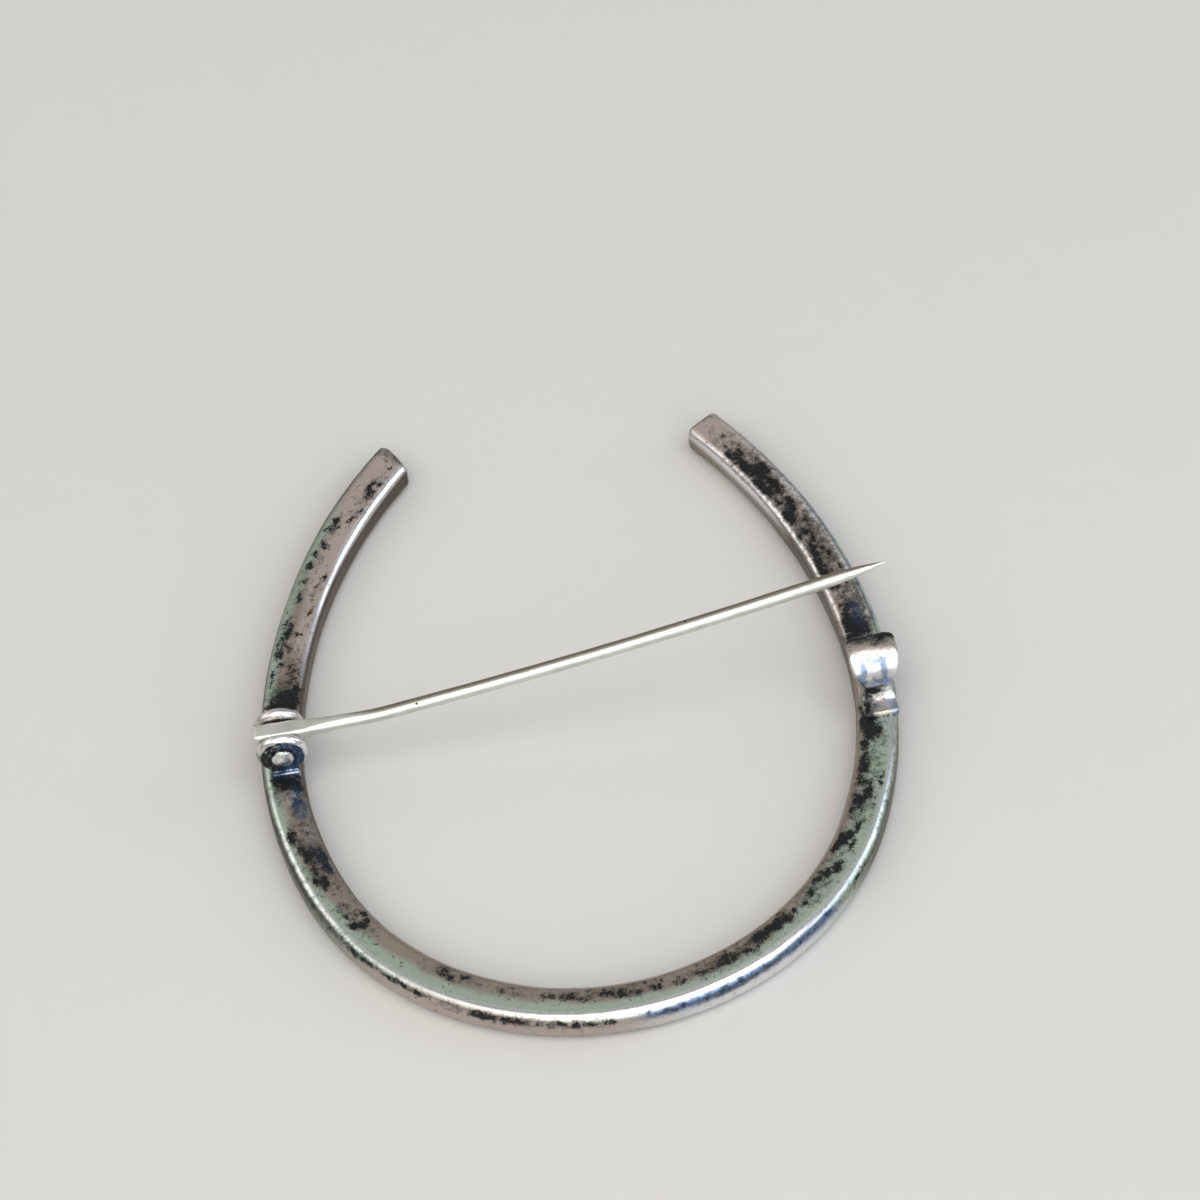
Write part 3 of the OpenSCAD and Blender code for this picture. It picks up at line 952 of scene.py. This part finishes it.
def round_tip(bm, edges, radius):
    """Closes one end of the bar and rounds its rim."""
    cap = bmesh.ops.contextual_create(bm, geom=edges)["faces"]
    bmesh.ops.recalc_face_normals(bm, faces=bm.faces)
    steps = 6
    for step in range(steps):
        now = QUARTER * step / steps
        then = QUARTER * (step + 1) / steps
        bmesh.ops.inset_region(
            bm, faces=cap, use_even_offset=True, thickness=radius * (math.cos(now) - math.cos(then)),
            depth=radius * (math.sin(then) - math.sin(now)))
    bmesh.ops.inset_region(bm, faces=cap, use_even_offset=True, thickness=0.1 * MM)


def wavy(point, size, seed):
    """Smooth noise between about -1 and 1."""
    return noise.noise(point / size + Vector((seed, 0, 0)))


def waves(point, rows):
    """Smooth noise of several sizes, one on the other."""
    return sum(height * wavy(point, size * MM, seed) for height, size, seed in rows)


class BarPlace(NamedTuple):
    """Where a point lies: millimetres along and round the bar, the way outwards, and how far outwards."""

    along: float
    girth: float
    out: Vector
    across: float


def round_bar(across, height):
    """Distance from the back's middle round the bar's side, signed outwards."""
    return math.copysign(abs(across) - height, across)


class BROOCH_OT_bow(bpy.types.Operator):
    """Bend the bar, round its ends, hammer it a little, stain it and paint light and shade on it."""

    bl_idname = "brooch.bow"
    bl_label = "Bow"

    def execute(self, context):
        bow = context.scene.brooch_bow
        bm = bmesh.new()
        section = bar_section(bm, bow)
        arms = {side: bar_arcs(bow, side) for side in (1, -1)}
        for side, arcs in arms.items():
            tip = bow.tip_round if side > 0 else bow.hinge_tip_round
            edges = section
            for arc in arcs:
                sweep = arc.sweep
                if arc is arcs[-1]:
                    sweep -= tip / arc.radius
                edges = edges_of(bmesh.ops.spin(
                    bm, geom=edges, cent=(side * arc.centre.x, arc.centre.y, 0), axis=(0, 0, 1),
                    angle=side * sweep, steps=round(arc.radius * sweep / bow.ring_step),
                    use_duplicate=False)["geom_last"])
            if side < 0:
                self.slant_end(bm, bow, arcs, tip)
            round_tip(bm, edges, tip)
        bmesh.ops.recalc_face_normals(bm, faces=bm.faces)
        bm.normal_update()
        self.hammer(bm, bow, arms)
        places = [self.place(vert.co, arms) for vert in bm.verts]
        piece = finish_mesh(bm, "bow", bench_to_frame())
        paint_each(piece, lambda vert: self.stain(vert.co, places[vert.index]))
        add_piece(piece, "brooch", "horseshoe", "aged_silver")
        return {"FINISHED"}

    def slant_end(self, bm, bow, arcs, tip):
        """Pulls the outer side of the hinge arm's end forward and its inner side back."""
        end = arcs[-1].start + arcs[-1].radius * arcs[-1].sweep - tip
        for vert in bm.verts:
            if vert.co.x > 0:
                continue
            along, across, out = place_on_bar(vert.co, arcs, -1)
            part = 1 - (end - along) / bow.slant_reach
            if part > 0:
                onward = Vector((out.y, -out.x, 0))
                vert.co += part * across * math.tan(bow.slant) * onward

    def place(self, point, arms):
        side = 1 if point.x >= 0 else -1
        along, across, out = place_on_bar(point, arms[side], side)
        return BarPlace(side * along / MM, round_bar(across, point.z) / MM, out, across)

    def hammer(self, bm, bow, arms):
        """Widens the toe and the hinge arm's outer side, narrows the other ends, and adds the waves of
        hand work."""
        reach = arms[1][-1].start + arms[1][-1].radius * arms[1][-1].sweep
        for vert in bm.verts:
            place = self.place(vert.co, arms)
            share_along = abs(place.along) * MM / reach
            gain = bow.toe_gain * (1 - smooth(0.2, 0.5, share_along))
            if vert.co.x < 0 and place.across > 0:
                loss = -bow.tip_flare * smooth(0.74, 0.97, share_along)
            elif vert.co.x > 0 and place.across < 0:
                loss = -0.5 * bow.tip_loss * smooth(0.62, 0.8, share_along)
            else:
                loss = bow.tip_loss * smooth(0.62, 1.0, share_along)
            start = vert.co.copy()
            widened = start + place.across * (gain - loss) * place.out
            vert.co = widened + bow.hammering * waves(start, HAMMER_WAVES) * vert.normal

    def stain(self, point, place):
        """Ovals with drifting rims, a brownish wall from patina and painted shade, painted highlights, and
        more of the greenish painted reflection on the catch's arm than on the hinge's.
        """
        along = place.along
        girth = place.girth
        drift = Vector((0.3 * wavy(point, 0.9 * MM, 21), 0.22 * wavy(point, 0.9 * MM, 35)))
        spot = (along + drift.x, girth + drift.y)
        hinge_arm = smooth(-19, -25, along)
        # Patina and painted shade on the walls, lifted where the walls take painted light
        wall_patina_and_shade = smooth(1.7 - 0.2 * hinge_arm, 2.3 - 0.45 * hinge_arm, abs(girth))
        wall_patina_and_shade *= 1 - min(cover(LIT_WALL, along, girth), 0.85)
        # Painted reflection: more of the greenish tone on the catch's arm, more of the brownish one on the
        # hinge's
        sage_reflection = smooth(12, 20, along) * smooth(42, 36, along) - 0.55 * smooth(-23, -30, along)
        toe_fade = 1 - 0.15 * smooth(14, 8, abs(along))
        return {
            "tarnish": toe_fade * cover(BOW_TARNISH, *spot),
            "haze_and_shade": cover(BOW_HAZE_AND_SHADE, *spot),
            "blush_and_warm_reflection": cover(BOW_BLUSH_AND_WARM_REFLECTION, *spot),
            "bluing_and_reflection": cover(BOW_BLUING_AND_REFLECTION, *spot),
            "wall_patina_and_shade": 0.9 * wall_patina_and_shade,
            "across": girth + 0.9 * sage_reflection,
            "wear_and_highlight": 0.95 * smooth(0, 1, cover(RUBBED_RIM_AND_HIGHLIGHT, along, girth)),
        }


class BROOCH_OT_hinge_ears(bpy.types.Operator):
    """Make the two round ears on their plate."""

    bl_idname = "brooch.hinge_ears"
    bl_label = "Hinge ears"

    def execute(self, context):
        hinge = context.scene.brooch_hinge
        bm = bmesh.new()
        half = hinge.ear_thickness / 2
        foot = -hinge.height - hinge.sunk
        for side in (1, -1):
            self.ear(bm, hinge, side * (hinge.ear_gap + half), half, foot)
        long = 2 * (hinge.ear_gap + hinge.ear_thickness + hinge.plate_lip)
        tall = hinge.plate_height + hinge.sunk
        plate = add_block(bm, (0, 0, foot + tall / 2), (hinge.neck_width, long, tall))
        edges = {edge for vert in plate for edge in vert.link_edges}
        plate_round = 0.2 * MM
        round_off(bm, list(edges), plate_round, 3, "EDGES")
        piece = finish_mesh(bm, "hinge_ears", Matrix())
        fuse(piece, EAR_VOXEL, 4)
        bore(piece, hinge.bore, EARS_DRILL)
        piece.data.transform(rivet_to_frame())
        piece.data.update()
        back = rivet_to_frame().inverted()
        paint_each(piece, lambda vert: self.stain(back @ vert.co, back.to_3x3() @ vert.normal, hinge))
        add_piece(piece, "brooch", "horseshoe", "aged_silver")
        return {"FINISHED"}

    def ear(self, bm, hinge, middle, half, foot):
        """One ear: a disc with a fully rounded rim on a short neck."""
        flat = hinge.ear_radius - hinge.rim_reach
        start = bmesh.ops.create_vert(bm, co=(0, middle - half, 0))["vert"]
        chain = bmesh.ops.extrude_vert_indiv(bm, verts=start)
        bmesh.ops.translate(bm, verts=chain["verts"], vec=(flat, 0, 0))
        rim = bmesh.ops.spin(
            bm, geom=chain["verts"], cent=(flat, middle, 0), axis=(0, 0, 1), angle=math.radians(180),
            steps=12, use_duplicate=False)
        stretch = Matrix.Diagonal((hinge.rim_reach / half, 1, 1, 1))
        arch = [
            vert for vert in bm.verts
            if vert.co.x > flat + MERGE and abs(vert.co.z) < MERGE
            and abs(vert.co.y - middle) < half - MERGE
        ]
        bmesh.ops.transform(bm, matrix=stretch, space=Matrix.Translation((-flat, 0, 0)), verts=arch)
        end = verts_of(rim["geom_last"])
        last = bmesh.ops.extrude_vert_indiv(bm, verts=end)
        bmesh.ops.translate(bm, verts=last["verts"], vec=(-flat, 0, 0))
        profile = [start[0]]
        edges = []
        while True:
            onward = [edge for edge in profile[-1].link_edges if edge not in edges]
            if not onward:
                break
            edges.append(onward[0])
            profile.append(onward[0].other_vert(profile[-1]))
        turn_round(bm, profile + edges, middle, 72)
        neck_top = -0.9 * MM
        tall = neck_top - foot
        neck = add_block(bm, (0, middle, foot + tall / 2), (hinge.neck_width, 2 * half, tall))
        upright = {edge for vert in neck for edge in vert.link_edges
                   if abs(edge.verts[0].co.z - edge.verts[1].co.z) > half}
        neck_round = 0.25 * MM
        round_off(bm, list(upright), neck_round, 4, "EDGES")

    def stain(self, point, normal, hinge):
        """Blue-black faces and foot, and rims bright from rubbing; painted shade darkens the space between
        the ears and their left, lower sides, painted light makes their right sides and tops brighter and
        bluer, and a painted warm reflection lies on their left.
        """
        far = math.hypot(point.x, point.z) / MM
        outward = smooth(0.3, 0.9, normal.y * math.copysign(1, point.y))
        face = outward * smooth(1.85, 1.6, far - 0.25 * smooth(-0.2 * MM, -1.4 * MM, point.z))
        low = smooth(-1.2 * MM, -1.7 * MM, point.z)
        # Painted shade on the ears' inner faces round the pin's eye
        shade_between_ears = smooth(1.1 * MM, 0.85 * MM, abs(point.y)) * smooth(1.45, 1.2, far)
        front = -hinge.ear_gap - hinge.ear_thickness
        lip = smooth(front + 0.02 * MM, front - 0.06 * MM, point.y)
        near = smooth(0, -0.4 * MM, point.y)
        dark = max(face, 1.1 * low, shade_between_ears) * (1 - lip)
        # Painted light: the right side, which faces the lamp, and the tops are lit; the left side gets
        # painted shade and painted warm reflection
        lit_side = smooth(-1.4 * MM, 1.2 * MM, point.x)
        lit_crown = smooth(0.2 * MM, 1.4 * MM, point.z)
        rubbed_and_lit = (1 - dark) * (0.25 + 0.45 * lit_side + 0.45 * lit_crown)
        return {
            "tarnish": max(dark * (0.55 + 0.45 * near), lip * (0.75 - 0.4 * lit_side)),
            "haze_and_shade": 0.75 * (1 - lit_side) * (1 - lit_crown) + 0.3 * (1 - near) + 0.4 * lip * (1 - lit_side),
            "blush_and_warm_reflection": (0.5 * (1 - lit_side) * (1 - face) + 0.5 * (1 - near)) * (1 - lip),
            "bluing_and_reflection": max(face * (0.25 + 0.9 * lit_side), 0.8 * low * (1 - lip), 0.3 * lit_side, 0.75 * lip),
            "across": 0.2,
            "wear_and_highlight": rubbed_and_lit * (0.5 + 0.5 * near) * (1 - 0.85 * lip),
        }


class BROOCH_OT_rivet(bpy.types.Operator):
    """Turn the rivet: a shaft with two domed heads."""

    bl_idname = "brooch.rivet"
    bl_label = "Rivet"

    def execute(self, context):
        hinge = context.scene.brooch_hinge
        clearance = 0.02 * MM
        seat = hinge.ear_gap + hinge.ear_thickness + clearance
        bm = bmesh.new()
        last = bmesh.ops.create_vert(bm, co=(0, -seat - hinge.head_height, 0))["vert"][0]
        steps = 9
        rim = 0.1 * MM
        outline = []
        for step in range(1, steps + 1):
            turn = QUARTER * step / steps
            dome = (hinge.head_height - rim) * math.cos(turn) ** 0.8
            outline.append((hinge.head_radius * math.sin(turn), -seat - rim - dome))
        undercut = 0.02 * MM
        outline += [(hinge.head_radius - undercut, -seat), (hinge.shaft_radius, -seat)]
        outline += [(across, -along) for across, along in reversed(outline)]
        outline.append((0, seat + hinge.head_height))
        for across, along in outline:
            last = bmesh.ops.extrude_vert_indiv(bm, verts=[last])["verts"][0]
            last.co = (across, along, 0)
        turn_round(bm, bm.verts[:] + bm.edges[:], 0, 48)
        piece = finish_mesh(bm, "rivet", rivet_to_frame())
        back = rivet_to_frame().inverted()

        def stain(vert):
            place = back @ vert.co
            rim_share = smooth(0.74 * MM, 0.9 * MM, math.hypot(place.x, place.z))
            # Painted light: warm reflection on the left of each head, bluish reflection low on the right,
            # painted highlight on the dome
            lit_side = smooth(-0.6 * MM, 0.6 * MM, place.x)
            return {
                "tarnish": 0.7 * rim_share,
                "blush_and_warm_reflection": 0.6 * (1 - lit_side),
                "bluing_and_reflection": 0.3 * lit_side * smooth(0.1 * MM, -0.5 * MM, place.z),
                "across": 0.3,
                "wear_and_highlight": 0.7 * (1 - rim_share),
            }

        paint_each(piece, stain)
        add_piece(piece, "brooch", "hinge_rivet", "aged_silver")
        return {"FINISHED"}


class BROOCH_OT_catch_hook(bpy.types.Operator):
    """Bend the catch's strip: hook, neck and foot."""

    bl_idname = "brooch.catch_hook"
    bl_label = "Catch hook"

    def execute(self, context):
        catch = context.scene.brooch_catch
        half = catch.thickness / 2
        path = self.path(catch, half)
        rings = []
        lengths = [0]
        for first, second in zip(path, path[1:]):
            lengths.append(lengths[-1] + math.hypot(second[0] - first[0], second[1] - first[1]))
        for (forward, height, turn), along in zip(path, lengths):
            width = self.half_width(catch, height)
            left = catch.lip_round - along
            if left > 0:
                width -= catch.lip_round - math.sqrt(catch.lip_round ** 2 - left ** 2)
            rings.append(Ring(forward, height, turn - QUARTER, width, half, catch.edge_round))
        end_round = 0.3 * MM
        rings = self.rounded_ends(rings, end_round)
        bm = bmesh.new()
        plane = (Vector((0, 1, 0)), Vector((1, 0, 0)), Vector((0, 0, 1)))
        draw_through(bm, rings, 32, plane, 24)
        centre = Vector((0, catch.along, 0))
        moved = Matrix.Translation(centre + Vector((catch.place, 0, 0)))
        turned = moved @ Matrix.Rotation(catch.yaw, 4, "Z")
        to_frame = bench_to_frame() @ turned @ Matrix.Translation(-centre)
        piece = finish_mesh(bm, "catch_hook", to_frame)
        self.ripple(piece)
        back = to_frame.inverted()
        paint_each(piece, lambda vert: self.stain(back @ vert.co, catch, path, lengths))
        add_piece(piece, "brooch", "horseshoe", "aged_silver")
        return {"FINISHED"}

    def path(self, catch, half):
        """The strip's middle line from lip to foot: places forward and up, and the way its face looks."""
        bend_z = catch.foot_height + catch.bend_radius
        drop = catch.height - bend_z
        reach = catch.radius + catch.bend_radius
        meet = math.asin(drop / reach)
        bend_y = catch.along - math.sqrt(reach * reach - drop * drop)
        radius = catch.radius - half
        hook = self.bend(catch.along, catch.height, radius, catch.lip_angle, math.pi + meet, 36)
        neck = self.bend(bend_y, bend_z, catch.bend_radius + half, meet, -QUARTER, 18)
        path = hook + [(forward, height, turn + math.pi) for forward, height, turn in neck[1:]]
        level = path[-1]
        foot = catch.foot_end + half * 0.5 - level[0]
        steps = 5
        return path + [(level[0] + foot * step / steps, *level[1:]) for step in range(1, steps + 1)]

    def bend(self, forward, height, radius, first, last, steps):
        """Points round a bend about a middle, from one turn to another."""
        turns = [first + (last - first) * step / steps for step in range(steps + 1)]
        return [
            (forward + radius * math.cos(turn), height + radius * math.sin(turn), turn)
            for turn in turns
        ]

    def half_width(self, catch, height):
        """Half the strip's width: broad round the hook, narrow at the neck, wider again at the foot."""
        neck = catch.foot_height + catch.bend_radius
        if height < neck:
            part = smooth(0, 1, height / neck)
            return (catch.foot_width + (catch.neck_width - catch.foot_width) * part) / 2
        part = smooth(0, 1, (height - neck) / (catch.height + 0.7 * catch.radius - neck))
        return (catch.neck_width + (catch.hook_width - catch.neck_width) * part) / 2

    def rounded_ends(self, rings, reach):
        """Adds shrinking rings at both ends, so that the strip's cut ends are rubbed round."""
        rounded = []
        steps = 4
        for end, way in ((rings[0], -1), (rings[-1], 1)):
            group = []
            for step in range(1, steps + 1):
                turn = QUARTER * step / steps
                move = way * reach * math.sin(turn)
                less = reach * (1 - math.cos(turn))
                group.append(Ring(
                    end.forward + move * math.cos(end.slope + math.pi),
                    end.height + move * math.sin(end.slope + math.pi),
                    end.slope, end.half_width - less, end.half_height - less, end.corner))
            rounded.append(group)
        return rounded[0][::-1] + list(rings) + rounded[1]

    def ripple(self, piece):
        for vert in piece.data.vertices:
            vert.co += MM * waves(vert.co, STRIP_WAVES) * vert.normal
        piece.data.update()

    def stain(self, point, catch, path, lengths):
        """Dark lip; a bluish hook with edges bright from rubbing, a painted highlight, painted shade that
        mottles it and a painted bluish reflection that reaches the neck's right side; black low on the
        neck.
        """
        gaps = [(spot[0] - point.y) ** 2 + (spot[1] - point.z) ** 2 for spot in path]
        along = lengths[gaps.index(min(gaps))] / MM
        across = point.x / MM
        far = math.hypot(point.y - catch.along, point.z - catch.height)
        inside = far < catch.radius - 0.6 * catch.thickness
        rim = smooth(0.75, 0.98, abs(across) / (catch.hook_width / 2 / MM))
        black = 0.9 if inside else cover(CATCH_TARNISH, along, across)
        # Painted shade that breaks up the hook's painted highlight
        shade = smooth(0.0, 0.9, cover(CATCH_SHADE, along, across))
        hook = smooth(1.5, 2.2, along) * smooth(5.4, 4.4, along)
        neck = smooth(4.5, 6.0, along) * smooth(-0.2, 1.2, across)
        # Edges rubbed bright, and a painted highlight over the hook
        rubbed_and_lit = max(0.62 - 0.55 * shade * hook, rim)
        rubbed_and_lit *= smooth(1.3, 2.2, along) * smooth(6.2, 5.0, along - across)
        return {
            "tarnish": black,
            "haze_and_shade": cover(CATCH_HAZE, along, across),
            "blush_and_warm_reflection": cover(CATCH_BLUSH_AND_WARM_REFLECTION, along, across),
            # Painted bluish reflection on the hook and on the neck's right side
            "bluing_and_reflection": hook * (0.5 + 0.35 * shade) + 0.6 * neck,
            "across": 0.1,
            "wear_and_highlight": rubbed_and_lit * (1 - 0.95 * smooth(0.1, 0.5, black)),
        }


class BROOCH_OT_pin(bpy.types.Operator):
    """Draw out the pin: squared eye, flat root, round bowed stem and sharp point."""

    bl_idname = "brooch.pin"
    bl_label = "Pin"

    def execute(self, context):
        pin = context.scene.brooch_pin
        bm = bmesh.new()
        rings = self.eye_rings(pin) + self.stem_rings(pin)
        plane = (Vector((1, 0, 0)), Vector((0, 1, 0)), Vector((0, 0, 1)))
        draw_through(bm, rings, 40, plane)
        piece = finish_mesh(bm, "pin_wire", Matrix())
        bore(piece, pin.eye_bore, PIN_DRILL)
        for vert in piece.data.vertices:
            if vert.co.x > 3 * MM:
                vert.co += 0.012 * MM * wavy(vert.co, 2.2 * MM, 70) * vert.normal
        stains = [cover(PIN_TARNISH, vert.co.x / MM, vert.co.y / MM) for vert in piece.data.vertices]
        film_and_shade = [self.film_and_shade(vert.co, vert.normal) for vert in piece.data.vertices]
        piece.data.transform(rivet_to_frame())
        piece.data.update()
        paint(piece, {"tarnish": stains, "haze_and_shade": film_and_shade})
        add_piece(piece, "pin_arm", "pin", "pin_silver")
        return {"FINISHED"}

    def film_and_shade(self, point, normal):
        """Strength of the painted dark reflection on the faces of the pin that look up and back, weaker
        near the eye.
        """
        back = smooth(-0.1, 0.9, 0.75 * normal.y + 0.66 * normal.z)
        return back * (0.25 + 0.75 * smooth(4 * MM, 9 * MM, point.x))

    def middle(self, pin, reach):
        """Middle of the pin at a distance from the rivet: nearly level root, then the bowed stem."""
        level = 0.8 * MM
        rise = 0.0515
        root = Vector((reach, level + rise * (reach - level)))
        half = pin.reach / 2
        base = math.sqrt(pin.bow_radius ** 2 - half ** 2)
        drop = math.sqrt(pin.bow_radius ** 2 - (reach - half) ** 2) - base
        stem = Matrix.Rotation(pin.lift, 2) @ Vector((reach, -drop))
        return root.lerp(stem, smooth(5.6 * MM, 10.4 * MM, reach))

    def eye_rings(self, pin):
        """Rings from the squared heel over the eye, whose underside is round."""
        top = pin.eye_radius
        half = pin.eye_thickness / 2
        corner = 0.27 * MM
        rings = []
        for ahead, low, inset in HEEL_RINGS:
            high = top - inset * MM
            low = low * MM
            forward = ahead * MM - pin.heel
            rings.append(Ring(forward, (high + low) / 2, 0, half - inset * MM, (high - low) / 2, corner))
        steps = 26
        for step in range(steps + 1):
            turn = math.pi - step / steps * math.radians(166)
            forward = pin.eye_radius * math.cos(turn)
            low = -pin.eye_radius * math.sin(turn)
            if forward > 0:
                low = max(low, -math.sqrt(pin.eye_radius ** 2 - forward ** 2))
            wide = half - 0.06 * MM * smooth(0.6 * MM, 2.2 * MM, forward)
            rings.append(Ring(forward, (top + low) / 2, 0, wide, (top - low) / 2, corner))
        return rings

    def stem_rings(self, pin):
        """Rings of the root, the round stem and the drawn-out point."""
        rings = []
        steps = 92
        start = 1.75 * MM
        for step in range(steps + 1):
            reach = start + (pin.reach - pin.taper - start) * step / steps
            rings.append(self.stem_ring(pin, reach, 1))
        steps = 30
        for step in range(1, steps + 1):
            part = step / steps
            thin = max(1 - part ** 2.4, 0.05)
            rings.append(self.stem_ring(pin, pin.reach - pin.taper * (1 - part), thin))
        return rings

    def stem_ring(self, pin, reach, thin):
        spot = self.middle(pin, reach)
        ahead = self.middle(pin, reach + 0.1 * MM) - spot
        slope = math.atan2(ahead.y, ahead.x)
        root = 1 - smooth(1.5 * MM, pin.root, reach)
        shoulder = 1 - smooth(1.4 * MM, 3.0 * MM, reach)
        wide = pin.radius + root * 0.07 * MM + shoulder * 0.09 * MM
        tall = pin.radius + root * 0.02 * MM + shoulder * 0.03 * MM
        corner = pin.radius * (1 - 0.5 * (1 - smooth(1.5 * MM, 4.5 * MM, reach)))
        return Ring(spot.x, spot.y, slope, wide * thin, tall * thin, corner * thin)


class BROOCH_OT_stage(bpy.types.Operator):
    """Lay a plain pale floor, set soft light and place the camera."""

    bl_idname = "brooch.stage"
    bl_label = "Stage"

    def execute(self, context):
        stage = context.scene.brooch_stage
        bm = bmesh.new()
        bmesh.ops.create_grid(bm, x_segments=1, y_segments=1, size=3)
        floor = finish_mesh(bm, "floor", Matrix())
        floor.data.materials.append(plain_floor(stage))
        world = bpy.data.worlds.new("room")
        world.use_nodes = True
        world.node_tree.nodes["Background"].inputs["Color"].default_value = (*stage.room, 1)
        context.scene.world = world
        self.light("window", 288, 44, 0.8, (1.0, 1.3), 8.0, (0.93, 0.96, 1.0))
        self.light("lamp", 232, 48, 0.8, (0.7, 0.75), 1.6, (1.0, 0.96, 0.89))
        self.light("room_wall", 92, 48, 1.1, (1.6, 0.9), 1.2, (1.0, 0.98, 0.94))
        self.light("side_window", 2, 28, 0.8, (0.5, 0.5), 1.5, (0.78, 0.85, 1.0))
        self.light("far_window", 170, 36, 0.8, (1.0, 0.4), 1.3, (1.0, 0.98, 0.93))
        self.light("ceiling", 300, 76, 0.8, (0.5, 0.4), 0.7, (1.0, 0.99, 0.96))
        camera = bpy.data.objects.new("camera", bpy.data.cameras.new("camera"))
        camera.data.lens = stage.lens
        camera.data.sensor_width = 36
        camera.data.clip_start = 0.01
        eye = Vector(stage.eye)
        look = (Vector(stage.aim) - eye).to_track_quat("-Z", "Y") @ Quaternion((0, 0, 1), stage.roll)
        camera.matrix_world = Matrix.Translation(eye) @ look.to_matrix().to_4x4()
        context.scene.collection.objects.link(camera)
        context.scene.camera = camera
        context.scene.view_settings.view_transform = "Standard"
        return {"FINISHED"}

    def light(self, name, bearing, rise, distance, size, power, tint):
        """A rectangular soft light that faces the brooch; bearing and rise are in degrees."""
        lamp = bpy.data.lights.new(name, "AREA")
        lamp.shape = "RECTANGLE"
        lamp.size, lamp.size_y = size
        lamp.energy = power
        lamp.color = tint
        turn = math.radians(bearing)
        lift = math.radians(rise)
        way = Vector((math.cos(turn) * math.cos(lift), math.sin(turn) * math.cos(lift), math.sin(lift)))
        holder = bpy.data.objects.new(name, lamp)
        aim = (-way).to_track_quat("-Z", "Y")
        holder.matrix_world = Matrix.Translation(distance * way) @ aim.to_matrix().to_4x4()
        bpy.context.scene.collection.objects.link(holder)


class BROOCH_PT_panel(bpy.types.Panel):
    """Lists the brooch's settings and pieces."""

    bl_label = "Brooch"
    bl_idname = "BROOCH_PT_panel"
    bl_space_type = "VIEW_3D"
    bl_region_type = "UI"
    bl_category = "Brooch"

    def draw(self, context):
        for name, group in SETTINGS.items():
            box = self.layout.box()
            box.label(text=group.__doc__)
            for key in group.__annotations__:
                box.prop(getattr(context.scene, name), key)
        for operator in OPERATORS:
            self.layout.operator(operator.bl_idname)


OPERATORS = (
    BROOCH_OT_stage,
    BROOCH_OT_bow,
    BROOCH_OT_hinge_ears,
    BROOCH_OT_catch_hook,
    BROOCH_OT_rivet,
    BROOCH_OT_pin,
)


def register():
    for name, group in SETTINGS.items():
        bpy.utils.register_class(group)
        setattr(bpy.types.Scene, name, bpy.props.PointerProperty(type=group))
    for operator in OPERATORS:
        bpy.utils.register_class(operator)
    bpy.utils.register_class(BROOCH_PT_panel)


def unregister():
    bpy.utils.unregister_class(BROOCH_PT_panel)
    for operator in OPERATORS:
        bpy.utils.unregister_class(operator)
    for name, group in SETTINGS.items():
        delattr(bpy.types.Scene, name)
        bpy.utils.unregister_class(group)


def main():
    register()
    bpy.ops.brooch.stage()
    bpy.ops.brooch.bow()
    bpy.ops.brooch.hinge_ears()
    bpy.ops.brooch.catch_hook()
    bpy.ops.brooch.rivet()
    bpy.ops.brooch.pin()


if __name__ == "__main__":
    main()
